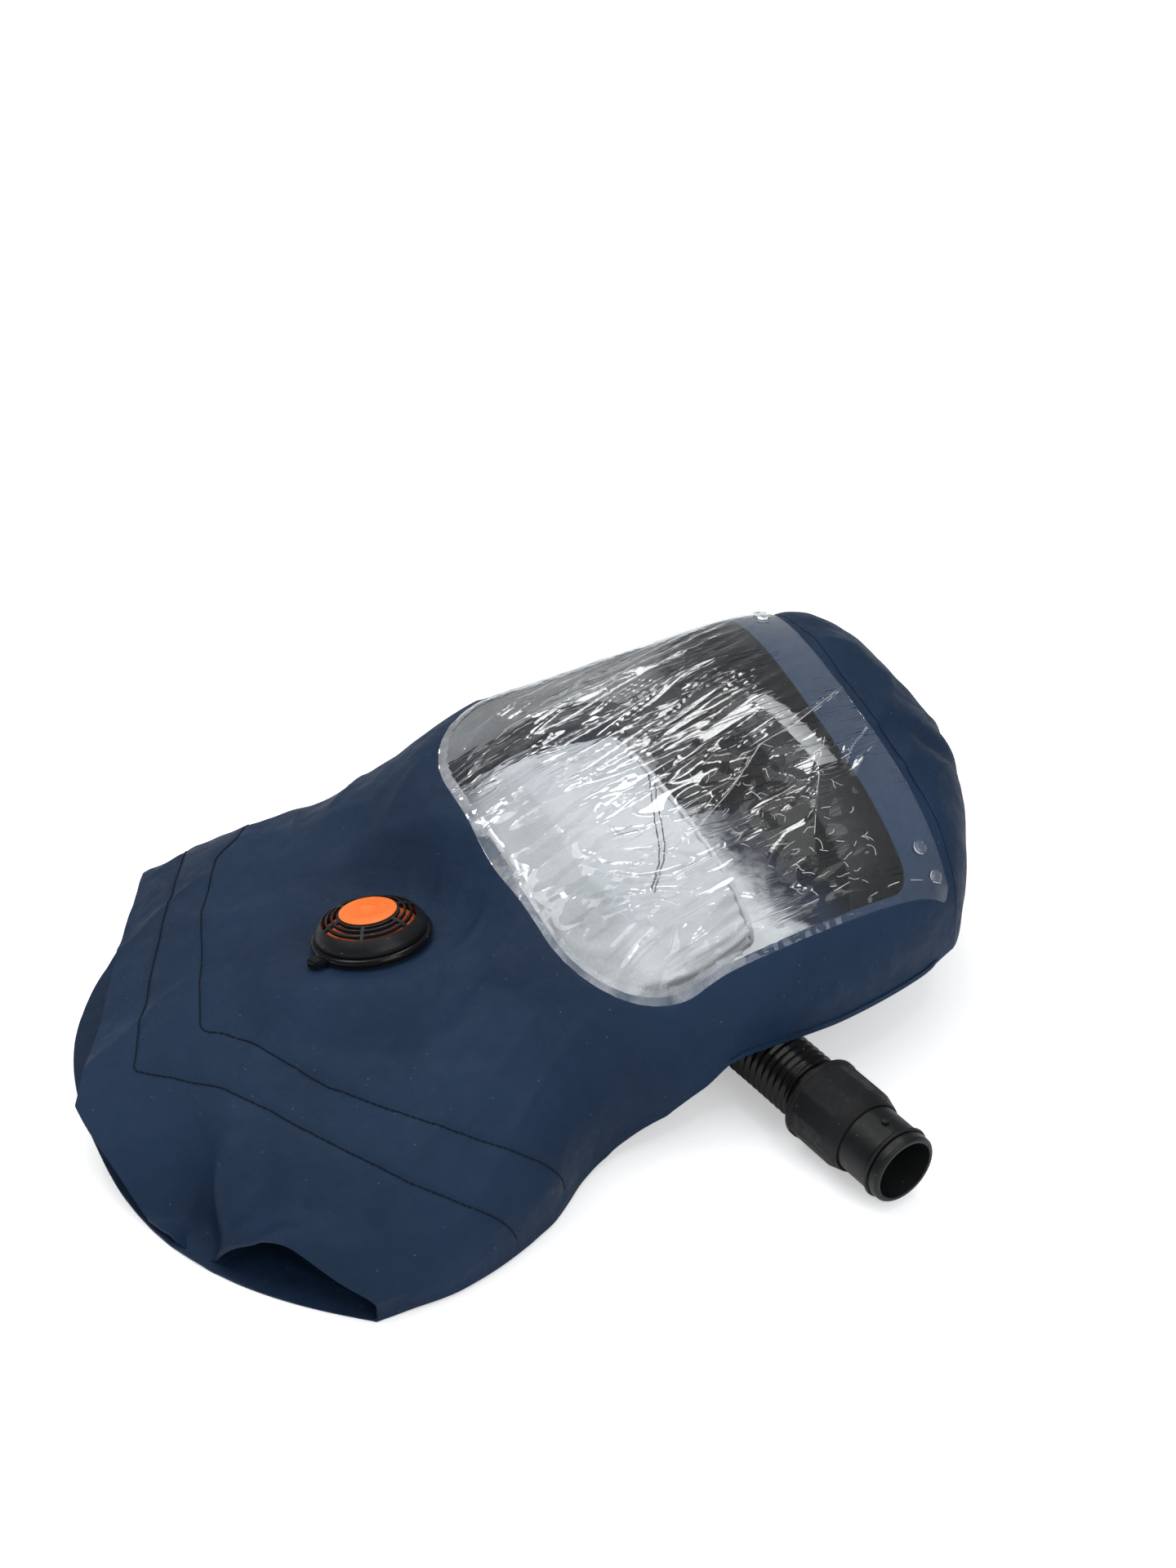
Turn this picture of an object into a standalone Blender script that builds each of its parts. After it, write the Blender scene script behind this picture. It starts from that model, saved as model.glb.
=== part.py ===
"""Smoke hood with a clear visor, an exhalation valve, a head harness and a short air hose.

The hood lies on its back: +X runs from the bib to the crown, +Y to the far side, +Z up.
Lengths are in metres.
"""
import math

import bmesh
import bpy
from mathutils import Matrix, Vector

GAP = 0.0003
CENTRE_X = 0.01455
CLOTH = 0.0012
FILM = 0.0006

# Hood sections from hem to brow: centre x, how far the edges sit behind the centre, half width near,
# half width far, side seam height near, side seam height far, top height, sideways slope of the top,
# bottom height
SECTIONS = (
    (-0.320, 0.105, 0.200, 0.200, 0.006, 0.030, 0.036, 0.06, 0.000),
    (-0.244, 0.080, 0.201, 0.201, 0.006, 0.032, 0.067, 0.05, 0.000),
    (-0.134, 0.030, 0.182, 0.188, 0.008, 0.038, 0.090, 0.03, 0.000),
    (-0.060, 0.008, 0.150, 0.170, 0.014, 0.055, 0.119, 0.13, 0.004),
    (0.000, 0.000, 0.150, 0.172, 0.034, 0.072, 0.138, 0.16, 0.024),
    (0.050, 0.000, 0.151, 0.170, 0.050, 0.076, 0.146, 0.15, 0.047),
    (0.120, 0.000, 0.150, 0.166, 0.054, 0.077, 0.155, 0.17, 0.053),
    (0.180, 0.000, 0.141, 0.162, 0.057, 0.079, 0.162, 0.18, 0.055),
    (0.212, 0.000, 0.130, 0.155, 0.060, 0.082, 0.161, 0.17, 0.057),
)
HEM_X = SECTIONS[0][0]
HEM_SWEEP = SECTIONS[0][1]
BROW_X = SECTIONS[-1][0]
CROWN_LENGTH = 0.070
CROWN_TIP_Y = 0.055
CROWN_TIP_Z = 0.100
CROWN_SEAM_SHARE = 0.36
TOP_ROUNDING = 3.0
BOTTOM_ROUNDING = 5.0
CROWN_ROUNDING = 1.8
CROWN_NEAR_ROUNDING = 1.3
CROWN_FAR_ROUNDING = 3.2
SEAM_STRIP = 0.0025
BACK_HEM_REACH = -0.008
BACK_HEM_CURVE = 2.6
HEAD_SKEW = 0.08
FLAT_CUT = 0.001

# Waves of the bib at the hem: y of the wave, height, half width across, reach along the axis
HEM_WAVES = (
    (-0.160, 0.018, 0.022, 0.075),
    (-0.095, -0.032, 0.034, 0.070),
)

# Visor film and the window behind it, as seen from above
VISOR_CHIN_X = -0.050
VISOR_BROW_X = 0.2045
VISOR_NEAR_Y = -0.130
VISOR_FAR_Y = 0.140
VISOR_CHIN_RADIUS = 0.066
VISOR_BROW_RADIUS = 0.006
WINDOW_LAP = 0.008
WINDOW_BROW_LAP = 0.028
VISOR_NEAR_FLARE = 0.20
HOLE_REACH = 0.02
SNAP_RADIUS = 0.0045
SNAP_HEIGHT = 0.0016
SNAP_PLACES = ((0.192, -0.109), (0.1965, -0.1225), (0.192, 0.107), (0.1965, 0.1205))

# Exhalation valve
VALVE_CENTRE = (-0.131, -0.0005, 0.0905)
VALVE_NORMAL = (-0.02, 0.20, 1.0)
VALVE_FLAT = 0.067
VALVE_BLEND = 0.098
VALVE_FLANGE_R = 0.037
VALVE_NECK_R = 0.022
VALVE_COVER_R = 0.034
VALVE_CAP_R = 0.0175
VALVE_CAP_SEAT = 0.0205
GASKET_TOP = 0.0014
VALVE_FLANGE = 0.0052
VALVE_WALL = 0.002
VALVE_NECK_END = -0.0085
TAB_REACH = 0.0395
TAB_ROOT = 0.030
TAB_R = 0.006
TAB_THICK = 0.003
TAB_ANGLE = -167.0
FLAP_R = 0.0250
FLAP = 0.001
GRILLE_ROWS = ((0.0190, 0.0214), (0.0226, 0.0250), (0.0262, 0.0286))
GRILLE_RIBS = 6
GRILLE_RIB = 0.0026

# Air inlet, hose and connector
HOSE_R = 0.0215
HOSE_ROOT_R = 0.0195
HOSE_BORE_R = 0.0165
RIB_PITCH = 0.0053
INLET_FLAT = 0.067
INLET_BLEND = 0.098
INLET_FLANGE_R = 0.035
INLET_FLANGE = 0.0022
INLET_RING_R = 0.034
ELBOW_R = 0.0215
ELBOW_BEND = 0.030
HOSE_Z = 0.0253
CONNECTOR_Z = 0.0274
CONNECTOR_REAR = (0.0746, -0.1818)
CONNECTOR_HEADING = -82.0
HOSE_STRAIGHT = 0.066
HOSE_BEND_R = 0.190
HOSE_BEND = 40.0
NUT_LENGTH = 0.042
NUT_R = 0.0265
NUT_FLATS = 12
CONNECTOR_LENGTH = 0.0745
NUT_HOLD = 0.008
O_RING_S = 0.066
LUG_S = 0.055
LUG_R = 0.0022
LUG_REACH = 0.0240
LUG_ROOT = 0.0205
O_RING_GROOVE = 0.0016
O_RING_SEAT_R = 0.0208
O_RING_MIDDLE_R = 0.0223
O_RING_R = 0.0011
SPIGOT_COLLAR_R = 0.0236
NUT_LIP = 0.0035
NUT_CHAMFER = 0.011
NUT_BORE_R = 0.0224
NUT_GROOVE_R = 0.0241
HOSE_COVER_Z = 0.0535
HOSE_COVER_FULL = 0.023
HOSE_COVER_NONE = 0.055
SPIGOT_R = 0.022
SPIGOT_BORE_R = 0.0185

# Pale inner collar: x, half width, middle height, half height
COLLAR = (
    (-0.060, 0.116, 0.050, 0.032),
    (-0.030, 0.113, 0.067, 0.034),
    (0.000, 0.110, 0.090, 0.030),
    (0.040, 0.108, 0.095, 0.030),
    (0.074, 0.098, 0.100, 0.028),
)
COLLAR_SIDES = 28
ELASTIC_R = 0.0016

# Head harness
BAND_X = 0.168
BAND_WIDTH = 0.040
BAND = 0.002
BAND_ARCH = (
    (-0.096, 0.078),
    (-0.086, 0.106),
    (-0.052, 0.125),
    (0.000, 0.134),
    (0.050, 0.137),
    (0.092, 0.126),
    (0.112, 0.098),
)
PAD = 0.004
STRAP = 0.0018
LABEL = 0.0004
LABEL_WIDTH = 0.014
# Straps: name, points along the middle line, width, direction of the width
STRAPS = (
    ("crown_strap", (
        (0.1892, 0.010, 0.134), (0.215, 0.012, 0.134), (0.240, 0.014, 0.124), (0.255, 0.016, 0.104),
        (0.246, 0.014, 0.088), (0.222, 0.010, 0.080), (0.1920, 0.008, 0.0785)), 0.022, (0.0, -1.0, 0.0)),
    ("side_strap", (
        (0.000, 0.126, 0.108), (0.045, 0.117, 0.130), (0.088, 0.098, 0.133), (0.104, 0.066, 0.118),
        (0.108, 0.040, 0.100)), 0.024, (0.55, 0.80, 0.10)),
    ("brow_strap", (
        (0.1470, 0.104, 0.1180), (0.128, 0.100, 0.136), (0.100, 0.096, 0.1380)), 0.022, (-0.2, -1.0, 0.0)),
)
RATCHET = (0.168, 0.008, 0.0785)
RATCHET_BOX = (0.046, 0.056, 0.011)
PINION_R = 0.006
TAIL_BAR = (0.009, 0.003)
TAILS = (("band_tail_near", -1, -0.084, 0.022), ("band_tail_far", 1, -0.022, 0.086))
SHAFT_HOLE_R = 0.0044
KNOB_R = 0.017

parts = bpy.data.collections.new("smoke_hood")
cutters = bpy.data.collections.new("cutters")


def clear_scene():
    for item in list(bpy.data.objects):
        bpy.data.objects.remove(item, do_unlink=True)
    bpy.context.scene.collection.children.link(parts)
    bpy.context.scene.collection.children.link(cutters)


def finish(name, colour, roughness, metallic=0.0, alpha=1.0):
    """A plain material for one sub-part."""
    made = bpy.data.materials.new(name)
    made.use_nodes = True
    shader = made.node_tree.nodes["Principled BSDF"]
    shader.inputs["Base Color"].default_value = (*colour, 1.0)
    shader.inputs["Roughness"].default_value = roughness
    shader.inputs["Metallic"].default_value = metallic
    shader.inputs["Alpha"].default_value = alpha
    made.diffuse_color = (*colour, alpha)
    return made


NAVY = ((0.021, 0.038, 0.078), 0.62)
CLEAR = ((0.85, 0.88, 0.90), 0.08, 0.0, 0.3)
PALE = ((0.62, 0.63, 0.64), 0.85)
CHARCOAL = ((0.035, 0.036, 0.038), 0.80)
BLACK = ((0.012, 0.012, 0.013), 0.40)
GLOSS_BLACK = ((0.006, 0.006, 0.007), 0.18)
RUBBER = ((0.015, 0.015, 0.016), 0.70)
ORANGE = ((0.86, 0.17, 0.02), 0.45)
WHITE = ((0.80, 0.81, 0.82), 0.60)


def add(name, mesh, look):
    """Puts a finished mesh into the scene as one named sub-part."""
    made = bpy.data.objects.new(name, mesh)
    made.data.materials.append(finish(name, *look))
    parts.objects.link(made)
    return made


def add_cutter(mesh):
    made = bpy.data.objects.new("cutter", mesh)
    made.hide_render = True
    made.display_type = "WIRE"
    cutters.objects.link(made)
    return made


def boolean(target, tool, operation):
    step = target.modifiers.new(operation.lower(), "BOOLEAN")
    step.object = tool
    step.operation = operation
    step.solver = "EXACT"


def solidify(target, thickness):
    step = target.modifiers.new("thickness", "SOLIDIFY")
    step.thickness = thickness
    step.offset = -1.0
    step.use_even_offset = False


def lathe_mesh(profile, steps):
    """A turned solid about local Z. A profile off the axis is a closed loop, outer side first."""
    mesh = bpy.data.meshes.new("lathe")
    closed = all(r > 0 for r, z in profile)
    count = len(profile)
    edges = [(i, (i + 1) % count) for i in range(count if closed else count - 1)]
    mesh.from_pydata([(r, 0.0, z) for r, z in profile], edges, [])
    rough = bpy.data.objects.new("lathe", mesh)
    cutters.objects.link(rough)
    screw = rough.modifiers.new("turn", "SCREW")
    screw.axis = "Z"
    screw.angle = math.tau
    screw.steps = steps
    screw.render_steps = steps
    screw.use_merge_vertices = True
    screw.merge_threshold = 0.00001
    return baked(rough)


def baked(rough):
    """The evaluated mesh of a construction object, which is then removed."""
    bpy.context.view_layer.update()
    graph = bpy.context.evaluated_depsgraph_get()
    mesh = bpy.data.meshes.new_from_object(rough.evaluated_get(graph))
    bpy.data.objects.remove(rough, do_unlink=True)
    work = bmesh.new()
    work.from_mesh(mesh)
    bmesh.ops.remove_doubles(work, verts=work.verts, dist=0.00001)
    bmesh.ops.recalc_face_normals(work, faces=work.faces)
    work.to_mesh(mesh)
    work.free()
    mesh.shade_smooth()
    mesh.set_sharp_from_angle(angle=math.radians(35))
    return mesh


def axes_at(origin, heading, lean=(1.0, 0.0, 0.0)):
    """A placement whose local Z runs along heading and whose local X leans towards lean."""
    z = Vector(heading).normalized()
    x = Vector(lean)
    x = (x - z * x.dot(z)).normalized()
    turn = Matrix((x, z.cross(x), z)).transposed().to_4x4()
    return Matrix.Translation(Vector(origin)) @ turn


def turned(name, profile, place, look, steps=32):
    made = add(name, lathe_mesh(profile, steps), look)
    made.matrix_world = place
    return made


def ring_profile(outer, inner, low, high):
    return [(outer, high), (outer, low), (inner, low), (inner, high)]


def disc_profile(radius, low, high):
    return [(0.0, high), (radius, high), (radius, low), (0.0, low)]


def outline_mesh(loops, height):
    """Flat outlines in XY, extruded to both sides of local Z by half the height."""
    curve = bpy.data.curves.new("outline", "CURVE")
    curve.dimensions = "2D"
    curve.fill_mode = "BOTH"
    curve.extrude = height / 2
    for loop in loops:
        spline = curve.splines.new("POLY")
        spline.points.add(len(loop) - 1)
        for point, (x, y) in zip(spline.points, loop):
            point.co = (x, y, 0.0, 1.0)
        spline.use_cyclic_u = True
    rough = bpy.data.objects.new("outline", curve)
    cutters.objects.link(rough)
    return baked(rough)


def arc(centre, radius, start, end, steps):
    """Points on an arc, angles in degrees."""
    points = []
    for i in range(steps + 1):
        angle = math.radians(start + (end - start) * i / steps)
        points.append((centre[0] + radius * math.cos(angle), centre[1] + radius * math.sin(angle)))
    return points


def tube_mesh(points, radii, resolution):
    """A round tube along a route, with filled ends."""
    curve = bpy.data.curves.new("tube", "CURVE")
    curve.dimensions = "3D"
    curve.bevel_depth = 1.0
    curve.bevel_resolution = resolution
    curve.use_fill_caps = True
    curve.twist_mode = "Z_UP"
    spline = curve.splines.new("POLY")
    spline.points.add(len(points) - 1)
    for point, place, radius in zip(spline.points, points, radii):
        point.co = (*place, 1.0)
        point.radius = radius
    rough = bpy.data.objects.new("tube", curve)
    cutters.objects.link(rough)
    return baked(rough)


def ease(value, full, none):
    """1 up to full, 0 from none on, smooth between."""
    t = min(max((value - full) / (none - full), 0.0), 1.0)
    return 1.0 - t * t * (3.0 - 2.0 * t)


def hose_route():
    """Route of the hose from the elbow to the connector: straight, one wide bend, straight."""
    heading = math.radians(CONNECTOR_HEADING + 180.0)
    spot = Vector((*CONNECTOR_REAR, 0.0)) - Vector((math.cos(heading), math.sin(heading), 0.0)) * NUT_HOLD
    route = [spot.copy()]
    bend = math.radians(HOSE_BEND) * HOSE_BEND_R
    lengths = ((HOSE_STRAIGHT, 0.0), (bend, -1 / HOSE_BEND_R), (HOSE_STRAIGHT, 0.0))
    step = RIB_PITCH / 2
    for length, curve in lengths:
        for _ in range(round(length / step)):
            heading += curve * step
            spot = spot + Vector((math.cos(heading), math.sin(heading), 0.0)) * step
            route.append(spot.copy())
    count = len(route) - 1
    for i, point in enumerate(route):
        point.z = CONNECTOR_Z + (HOSE_Z - CONNECTOR_Z) * (1 - ease(i / count, 0.15, 0.5))
    return route, Vector((math.cos(heading), math.sin(heading), 0.0))


ROUTE, INLET_HEADING = hose_route()
ELBOW_MOUTH = ROUTE[-1] + INLET_HEADING * GAP
INLET_RUN = 0.016
INLET_CENTRE = ELBOW_MOUTH + INLET_HEADING * (INLET_RUN + ELBOW_BEND)
INLET_Z = HOSE_Z + ELBOW_BEND + 0.004


def over_hose(x, y, height):
    """A height of the cloth, lifted where it lies over the hose."""
    spot = Vector((x, y))
    away = min((point.xy - spot).length for point in ROUTE[::4])
    return height + max(HOSE_COVER_Z - height, 0.0) * ease(away, HOSE_COVER_FULL, HOSE_COVER_NONE)


def hermite(x, column):
    """A smooth value of one section size between its stations."""
    count = len(SECTIONS)
    k = 0
    while k < count - 2 and x > SECTIONS[k + 1][0]:
        k += 1
    x0, x1 = SECTIONS[k][0], SECTIONS[k + 1][0]

    def slope(i):
        low, high = max(i - 1, 0), min(i + 1, count - 1)
        return (SECTIONS[high][column] - SECTIONS[low][column]) / (SECTIONS[high][0] - SECTIONS[low][0])

    t = (x - x0) / (x1 - x0)
    start, end = SECTIONS[k][column], SECTIONS[k + 1][column]
    bend = (x1 - x0) * (t * (1 - t) ** 2 * slope(k) - t * t * (1 - t) * slope(k + 1))
    return start + (end - start) * t * t * (3 - 2 * t) + bend


def rounded(share, power):
    """Distance out and height of a rounded box with this power, from its middle (0) to its edge (-1 or 1)."""
    side = math.sin(share * math.pi / 2)
    return side, max(1.0 - abs(side) ** power, 0.0) ** (1 / power)


def skewed(x, y):
    """The head end of the hood leans over: its far side lies further forward than its near side."""
    return x + HEAD_SKEW * (1 - ease(x, 0.0, BROW_X)) * y


def raw_point(along, across, top, edge=False):
    """A point of the hood's outside before the seats of the valve and the inlet are pressed flat.

    along is the axial station, and past the brow the angle round the crown; across runs from -1 on the near
    side to 1 on the far side; edge gives the cut edge at the seam.
    """
    x = min(along, BROW_X)
    sweep, near, far, seam_near, seam_far, crest, roll, base = (hermite(x, c) for c in range(1, 9))
    side, lift = rounded(across, TOP_ROUNDING if top else BOTTOM_ROUNDING)
    half, seam = (far, seam_far) if side > 0 else (near, seam_near)
    y = side * half
    seam = over_hose(x, y, seam)
    base = over_hose(x, y, base)
    turn = min(max(along - BROW_X, 0.0) / CROWN_LENGTH, 1.0)
    reach, shrink = rounded(turn, CROWN_ROUNDING)
    side_seam = seam
    seam = CROWN_TIP_Z + (seam - CROWN_TIP_Z) * shrink
    share = sweep / HEM_SWEEP
    spread = abs(y) / half
    if top:
        rise = (crest + roll * y - side_seam - SEAM_STRIP) * lift * shrink
        z = seam + (GAP / 2 if edge else SEAM_STRIP + rise)
        x += sweep * (spread if side > 0 else spread * spread)
        fade = ease(along - HEM_X, 0.0, 0.09)
        if not edge:
            for middle, height, width, length in HEM_WAVES:
                bump = height * math.exp(-(((y - middle) / width) ** 2))
                z += bump * ease(along - HEM_X, 0.0, length) * fade
            z = max(z, seam + SEAM_STRIP)
    else:
        drop = (side_seam - SEAM_STRIP - base) * lift * shrink
        z = seam - (GAP / 2 if edge else SEAM_STRIP + drop)
        if not edge:
            z = max(z - FLAT_CUT, 0.0)
        x += -BACK_HEM_REACH * share + (sweep + BACK_HEM_REACH * share) * spread ** BACK_HEM_CURVE
    x += CROWN_LENGTH * reach
    narrow = CROWN_NEAR_ROUNDING + (CROWN_FAR_ROUNDING - CROWN_NEAR_ROUNDING) * (side + 1) / 2
    shrink = rounded(turn, narrow)[1]
    y = CROWN_TIP_Y * (1 - shrink) + y * (CROWN_SEAM_SHARE + (1 - CROWN_SEAM_SHARE) * shrink)
    return Vector((skewed(x, y), y, z))


def across_at(along, y, top=True):
    """The across value whose point has this y."""
    low, high = -1.0, 1.0
    for _ in range(40):
        middle = (low + high) / 2
        if raw_point(along, middle, top).y < y:
            low = middle
        else:
            high = middle
    return (low + high) / 2


VALVE = axes_at(VALVE_CENTRE, VALVE_NORMAL)


def hood_point(along, across, top, edge=False):
    """A point of the hood's outside."""
    point = raw_point(along, across, top, edge)
    if edge:
        return point
    if top:
        local = VALVE.inverted() @ point
        local.z *= 1 - ease(local.xy.length, VALVE_FLAT, VALVE_BLEND)
        return VALVE @ local
    away = (point.xy - INLET_CENTRE.xy).length
    point.z += (INLET_Z - point.z) * ease(away, INLET_FLAT, INLET_BLEND)
    return point


def hood_normal(along, across, top):
    """Outward direction of the hood's outside."""
    step = 0.002
    low, high = max(along - step, HEM_X), min(along + step, BROW_X + CROWN_LENGTH)
    left, right = max(across - 0.01, -1.0), min(across + 0.01, 1.0)
    run = hood_point(high, across, top) - hood_point(low, across, top)
    width = hood_point(along, right, top) - hood_point(along, left, top)
    normal = run.cross(width).normalized()
    return normal if top else -normal


def sheet_mesh(rows, top):
    """An open surface through rows of points, facing out of the hood."""
    mesh = bpy.data.meshes.new("sheet")
    columns = len(rows[0])
    faces = []
    for r in range(len(rows) - 1):
        for c in range(columns - 1):
            corners = [r * columns + c, (r + 1) * columns + c, (r + 1) * columns + c + 1, r * columns + c + 1]
            for face in (corners[:3], [corners[0], *corners[2:]]):
                faces.append(face if top else face[::-1])
    mesh.from_pydata([point for row in rows for point in row], [], faces)
    work = bmesh.new()
    work.from_mesh(mesh)
    bmesh.ops.remove_doubles(work, verts=work.verts, dist=0.00001)
    work.to_mesh(mesh)
    work.free()
    mesh.shade_smooth()
    return mesh


def spread(low, high, count):
    return [low + (high - low) * i / (count - 1) for i in range(count)]


def hood_rows(stations, columns, top, depth=0.0, side_edges=True, crown_edge=False):
    """Rows of points on the hood, moved inwards by depth, with the cut edges at the seams."""
    rows = []
    for along in stations:
        row = [hood_point(along, a, top) - hood_normal(along, a, top) * depth for a in columns]
        if side_edges:
            row.insert(0, hood_point(along, -1.0, top, True))
            row.append(hood_point(along, 1.0, top, True))
        rows.append(row)
    if crown_edge:
        end = stations[-1]
        row = [hood_point(end, a, top, True) for a in columns]
        rows.append([row[0], *row, row[-1]])
    return rows


def rounded_outline(chin, brow, near, far, chin_radius, brow_radius):
    """A window outline seen from above, round at the chin and wider there on the near side."""
    outline = [
        *arc((brow - brow_radius, far - brow_radius), brow_radius, 0, 90, 3),
        *arc((chin + chin_radius, far - chin_radius), chin_radius, 90, 180, 8),
        *arc((chin + chin_radius, near + chin_radius), chin_radius, 180, 270, 8),
        *arc((brow - brow_radius, near + brow_radius), brow_radius, 270, 360, 3),
    ]
    return [(x, y + min(y, 0.0) * VISOR_NEAR_FLARE * (VISOR_BROW_X - x)) for x, y in outline]


def prism(outline, low, high):
    made = add_cutter(outline_mesh([[(skewed(x, y), y) for x, y in outline]], high - low))
    made.location.z = (low + high) / 2
    return made


STATIONS = spread(HEM_X, BROW_X, 25)
CROWN_END = BROW_X + CROWN_LENGTH
CROWN_STATIONS = spread(BROW_X, CROWN_END, 8)
COLUMNS = spread(-1.0, 1.0, 17)
FACING_ROWS = 3
FACING_COLUMNS = 2
LAP = 3 * GAP


def build_hood():
    front = add("front_panel", sheet_mesh(hood_rows(STATIONS, COLUMNS, True), True), NAVY)
    solidify(front, CLOTH)
    window = rounded_outline(
        VISOR_CHIN_X + WINDOW_LAP, VISOR_BROW_X - WINDOW_BROW_LAP, VISOR_NEAR_Y + WINDOW_LAP,
        VISOR_FAR_Y - WINDOW_LAP, VISOR_CHIN_RADIUS - WINDOW_LAP, 0.012)
    boolean(front, prism(window, 0.03, 0.25), "DIFFERENCE")
    hole = add_cutter(lathe_mesh(disc_profile(VALVE_NECK_R + GAP, -HOLE_REACH, HOLE_REACH), 32))
    hole.matrix_world = VALVE
    boolean(front, hole, "DIFFERENCE")

    crown = add("crown_panel", sheet_mesh(
        hood_rows([BROW_X + 2 * GAP, *CROWN_STATIONS[1:]], COLUMNS, True, crown_edge=True), True), NAVY)
    solidify(crown, CLOTH)
    back = add("back_panel", sheet_mesh(
        hood_rows([*STATIONS, *CROWN_STATIONS[1:]], COLUMNS, False, crown_edge=True), False), NAVY)
    solidify(back, CLOTH)
    inlet_hole = add_cutter(lathe_mesh(disc_profile(ELBOW_R + GAP, -HOLE_REACH, HOLE_REACH), 32))
    inlet_hole.location = (INLET_CENTRE.x, INLET_CENTRE.y, INLET_Z)
    boolean(back, inlet_hole, "DIFFERENCE")

    columns = COLUMNS[FACING_COLUMNS:-FACING_COLUMNS]
    for name, top in (("front_hem_facing", True), ("back_hem_facing", False)):
        rows = hood_rows(STATIONS[:FACING_ROWS], columns, top, CLOTH + LAP, False)
        solidify(add(name, sheet_mesh(rows, top), NAVY), FILM)


def build_visor():
    stations = [x for x in STATIONS if VISOR_CHIN_X - STATIONS[1] + STATIONS[0] < x]
    rows = hood_rows(stations, COLUMNS[1:-1], True, -LAP - FILM, False)
    visor = add("visor", sheet_mesh(rows, True), CLEAR)
    solidify(visor, FILM)
    outline = rounded_outline(
        VISOR_CHIN_X, VISOR_BROW_X, VISOR_NEAR_Y, VISOR_FAR_Y, VISOR_CHIN_RADIUS, VISOR_BROW_RADIUS)
    boolean(visor, prism(outline, 0.03, 0.25), "INTERSECT")
    dome = [
        (0.0, SNAP_HEIGHT), (SNAP_RADIUS * 0.55, SNAP_HEIGHT), (SNAP_RADIUS, SNAP_HEIGHT * 0.4),
        (SNAP_RADIUS, 0.0), (0.0, 0.0)]
    for number, (x, y) in enumerate(SNAP_PLACES, 1):
        a = across_at(x, y)
        seat = hood_point(x, a, True) + hood_normal(x, a, True) * (LAP + 2 * GAP + FILM)
        turned(f"visor_snap_{number}", dome, axes_at(seat, hood_normal(x, a, True)), BLACK, 12)


def build_valve():
    turned("valve_gasket", ring_profile(0.0350, VALVE_NECK_R + 0.002, GAP, GASKET_TOP), VALVE, RUBBER)
    low = GASKET_TOP + GAP
    base = turned("valve_base", [
        (VALVE_FLANGE_R - 0.0025, low + VALVE_FLANGE), (VALVE_FLANGE_R - 0.0008, low + 0.0045),
        (VALVE_FLANGE_R, low + 0.0025), (VALVE_FLANGE_R - 0.0008, low), (VALVE_NECK_R, low),
        (VALVE_NECK_R, VALVE_NECK_END), (VALVE_NECK_R - VALVE_WALL, VALVE_NECK_END),
        (VALVE_NECK_R - VALVE_WALL, low + VALVE_FLANGE)], VALVE, GLOSS_BLACK)
    tab_outline = [*arc((TAB_REACH, 0.0), TAB_R, -90, 90, 6), (TAB_ROOT, TAB_R), (TAB_ROOT, -TAB_R)]
    tab = add_cutter(outline_mesh([tab_outline], TAB_THICK))
    turn = Matrix.Rotation(math.radians(TAB_ANGLE), 4, "Z")
    tab.matrix_world = VALVE @ turn @ Matrix.Translation((0, 0, low + 0.0017))
    boolean(base, tab, "UNION")
    under = -CLOTH - GAP
    turned("valve_clamp_ring", ring_profile(0.033, VALVE_NECK_R + GAP, under - 0.005, under), VALVE, BLACK)

    seat_low = low + VALVE_FLANGE + GAP
    seat = add("valve_seat", outline_mesh([
        arc((0, 0), 0.0285, 0, 350, 35),
        *[seat_hole(60 * i) for i in range(6)]], 0.0018), ORANGE)
    seat.matrix_world = VALVE @ Matrix.Translation((0, 0, seat_low + 0.0009))
    flap_low = seat_low + 0.0018 + GAP
    turned("exhale_flap", disc_profile(FLAP_R, flap_low, flap_low + FLAP), VALVE, ORANGE)

    cover = turned("valve_cover", [
        (VALVE_CAP_R - 0.0012, VALVE_CAP_SEAT), (0.0230, 0.0195), (0.0290, 0.0165), (0.0325, 0.0125),
        (VALVE_COVER_R, 0.0100), (VALVE_COVER_R, seat_low), (0.0290, seat_low), (0.0290, 0.0125),
        (0.0265, 0.0150), (0.0220, 0.0172),
        (VALVE_CAP_R - 0.0012, 0.0182)], VALVE, BLACK, 36)
    slots = []
    half_gap = 360 / GRILLE_RIBS
    for inner, outer in GRILLE_ROWS:
        rib = math.degrees(GRILLE_RIB / ((inner + outer) / 2))
        for i in range(GRILLE_RIBS):
            start, end = half_gap * i + rib / 2, half_gap * (i + 1) - rib / 2
            slots.append(arc((0, 0), outer, start, end, 4) + arc((0, 0), inner, end, start, 4))
    slot_tool = add_cutter(outline_mesh(slots, 0.012))
    slot_tool.matrix_world = VALVE @ Matrix.Translation((0, 0, 0.0185))
    boolean(cover, slot_tool, "DIFFERENCE")
    turned("valve_cap", [
        (0.0, 0.0222), (0.0140, 0.0220), (VALVE_CAP_R, 0.0212), (VALVE_CAP_R, VALVE_CAP_SEAT + GAP),
        (0.0158, VALVE_CAP_SEAT + GAP),
        (0.0158, 0.0170), (0.0, 0.0170)], VALVE, ORANGE)


def seat_hole(turn):
    """One air passage of the valve seat, between two spokes."""
    return arc((0, 0), 0.0185, turn + 8, turn + 52, 5) + arc((0, 0), 0.0065, turn + 42, turn + 18, 2)


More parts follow.
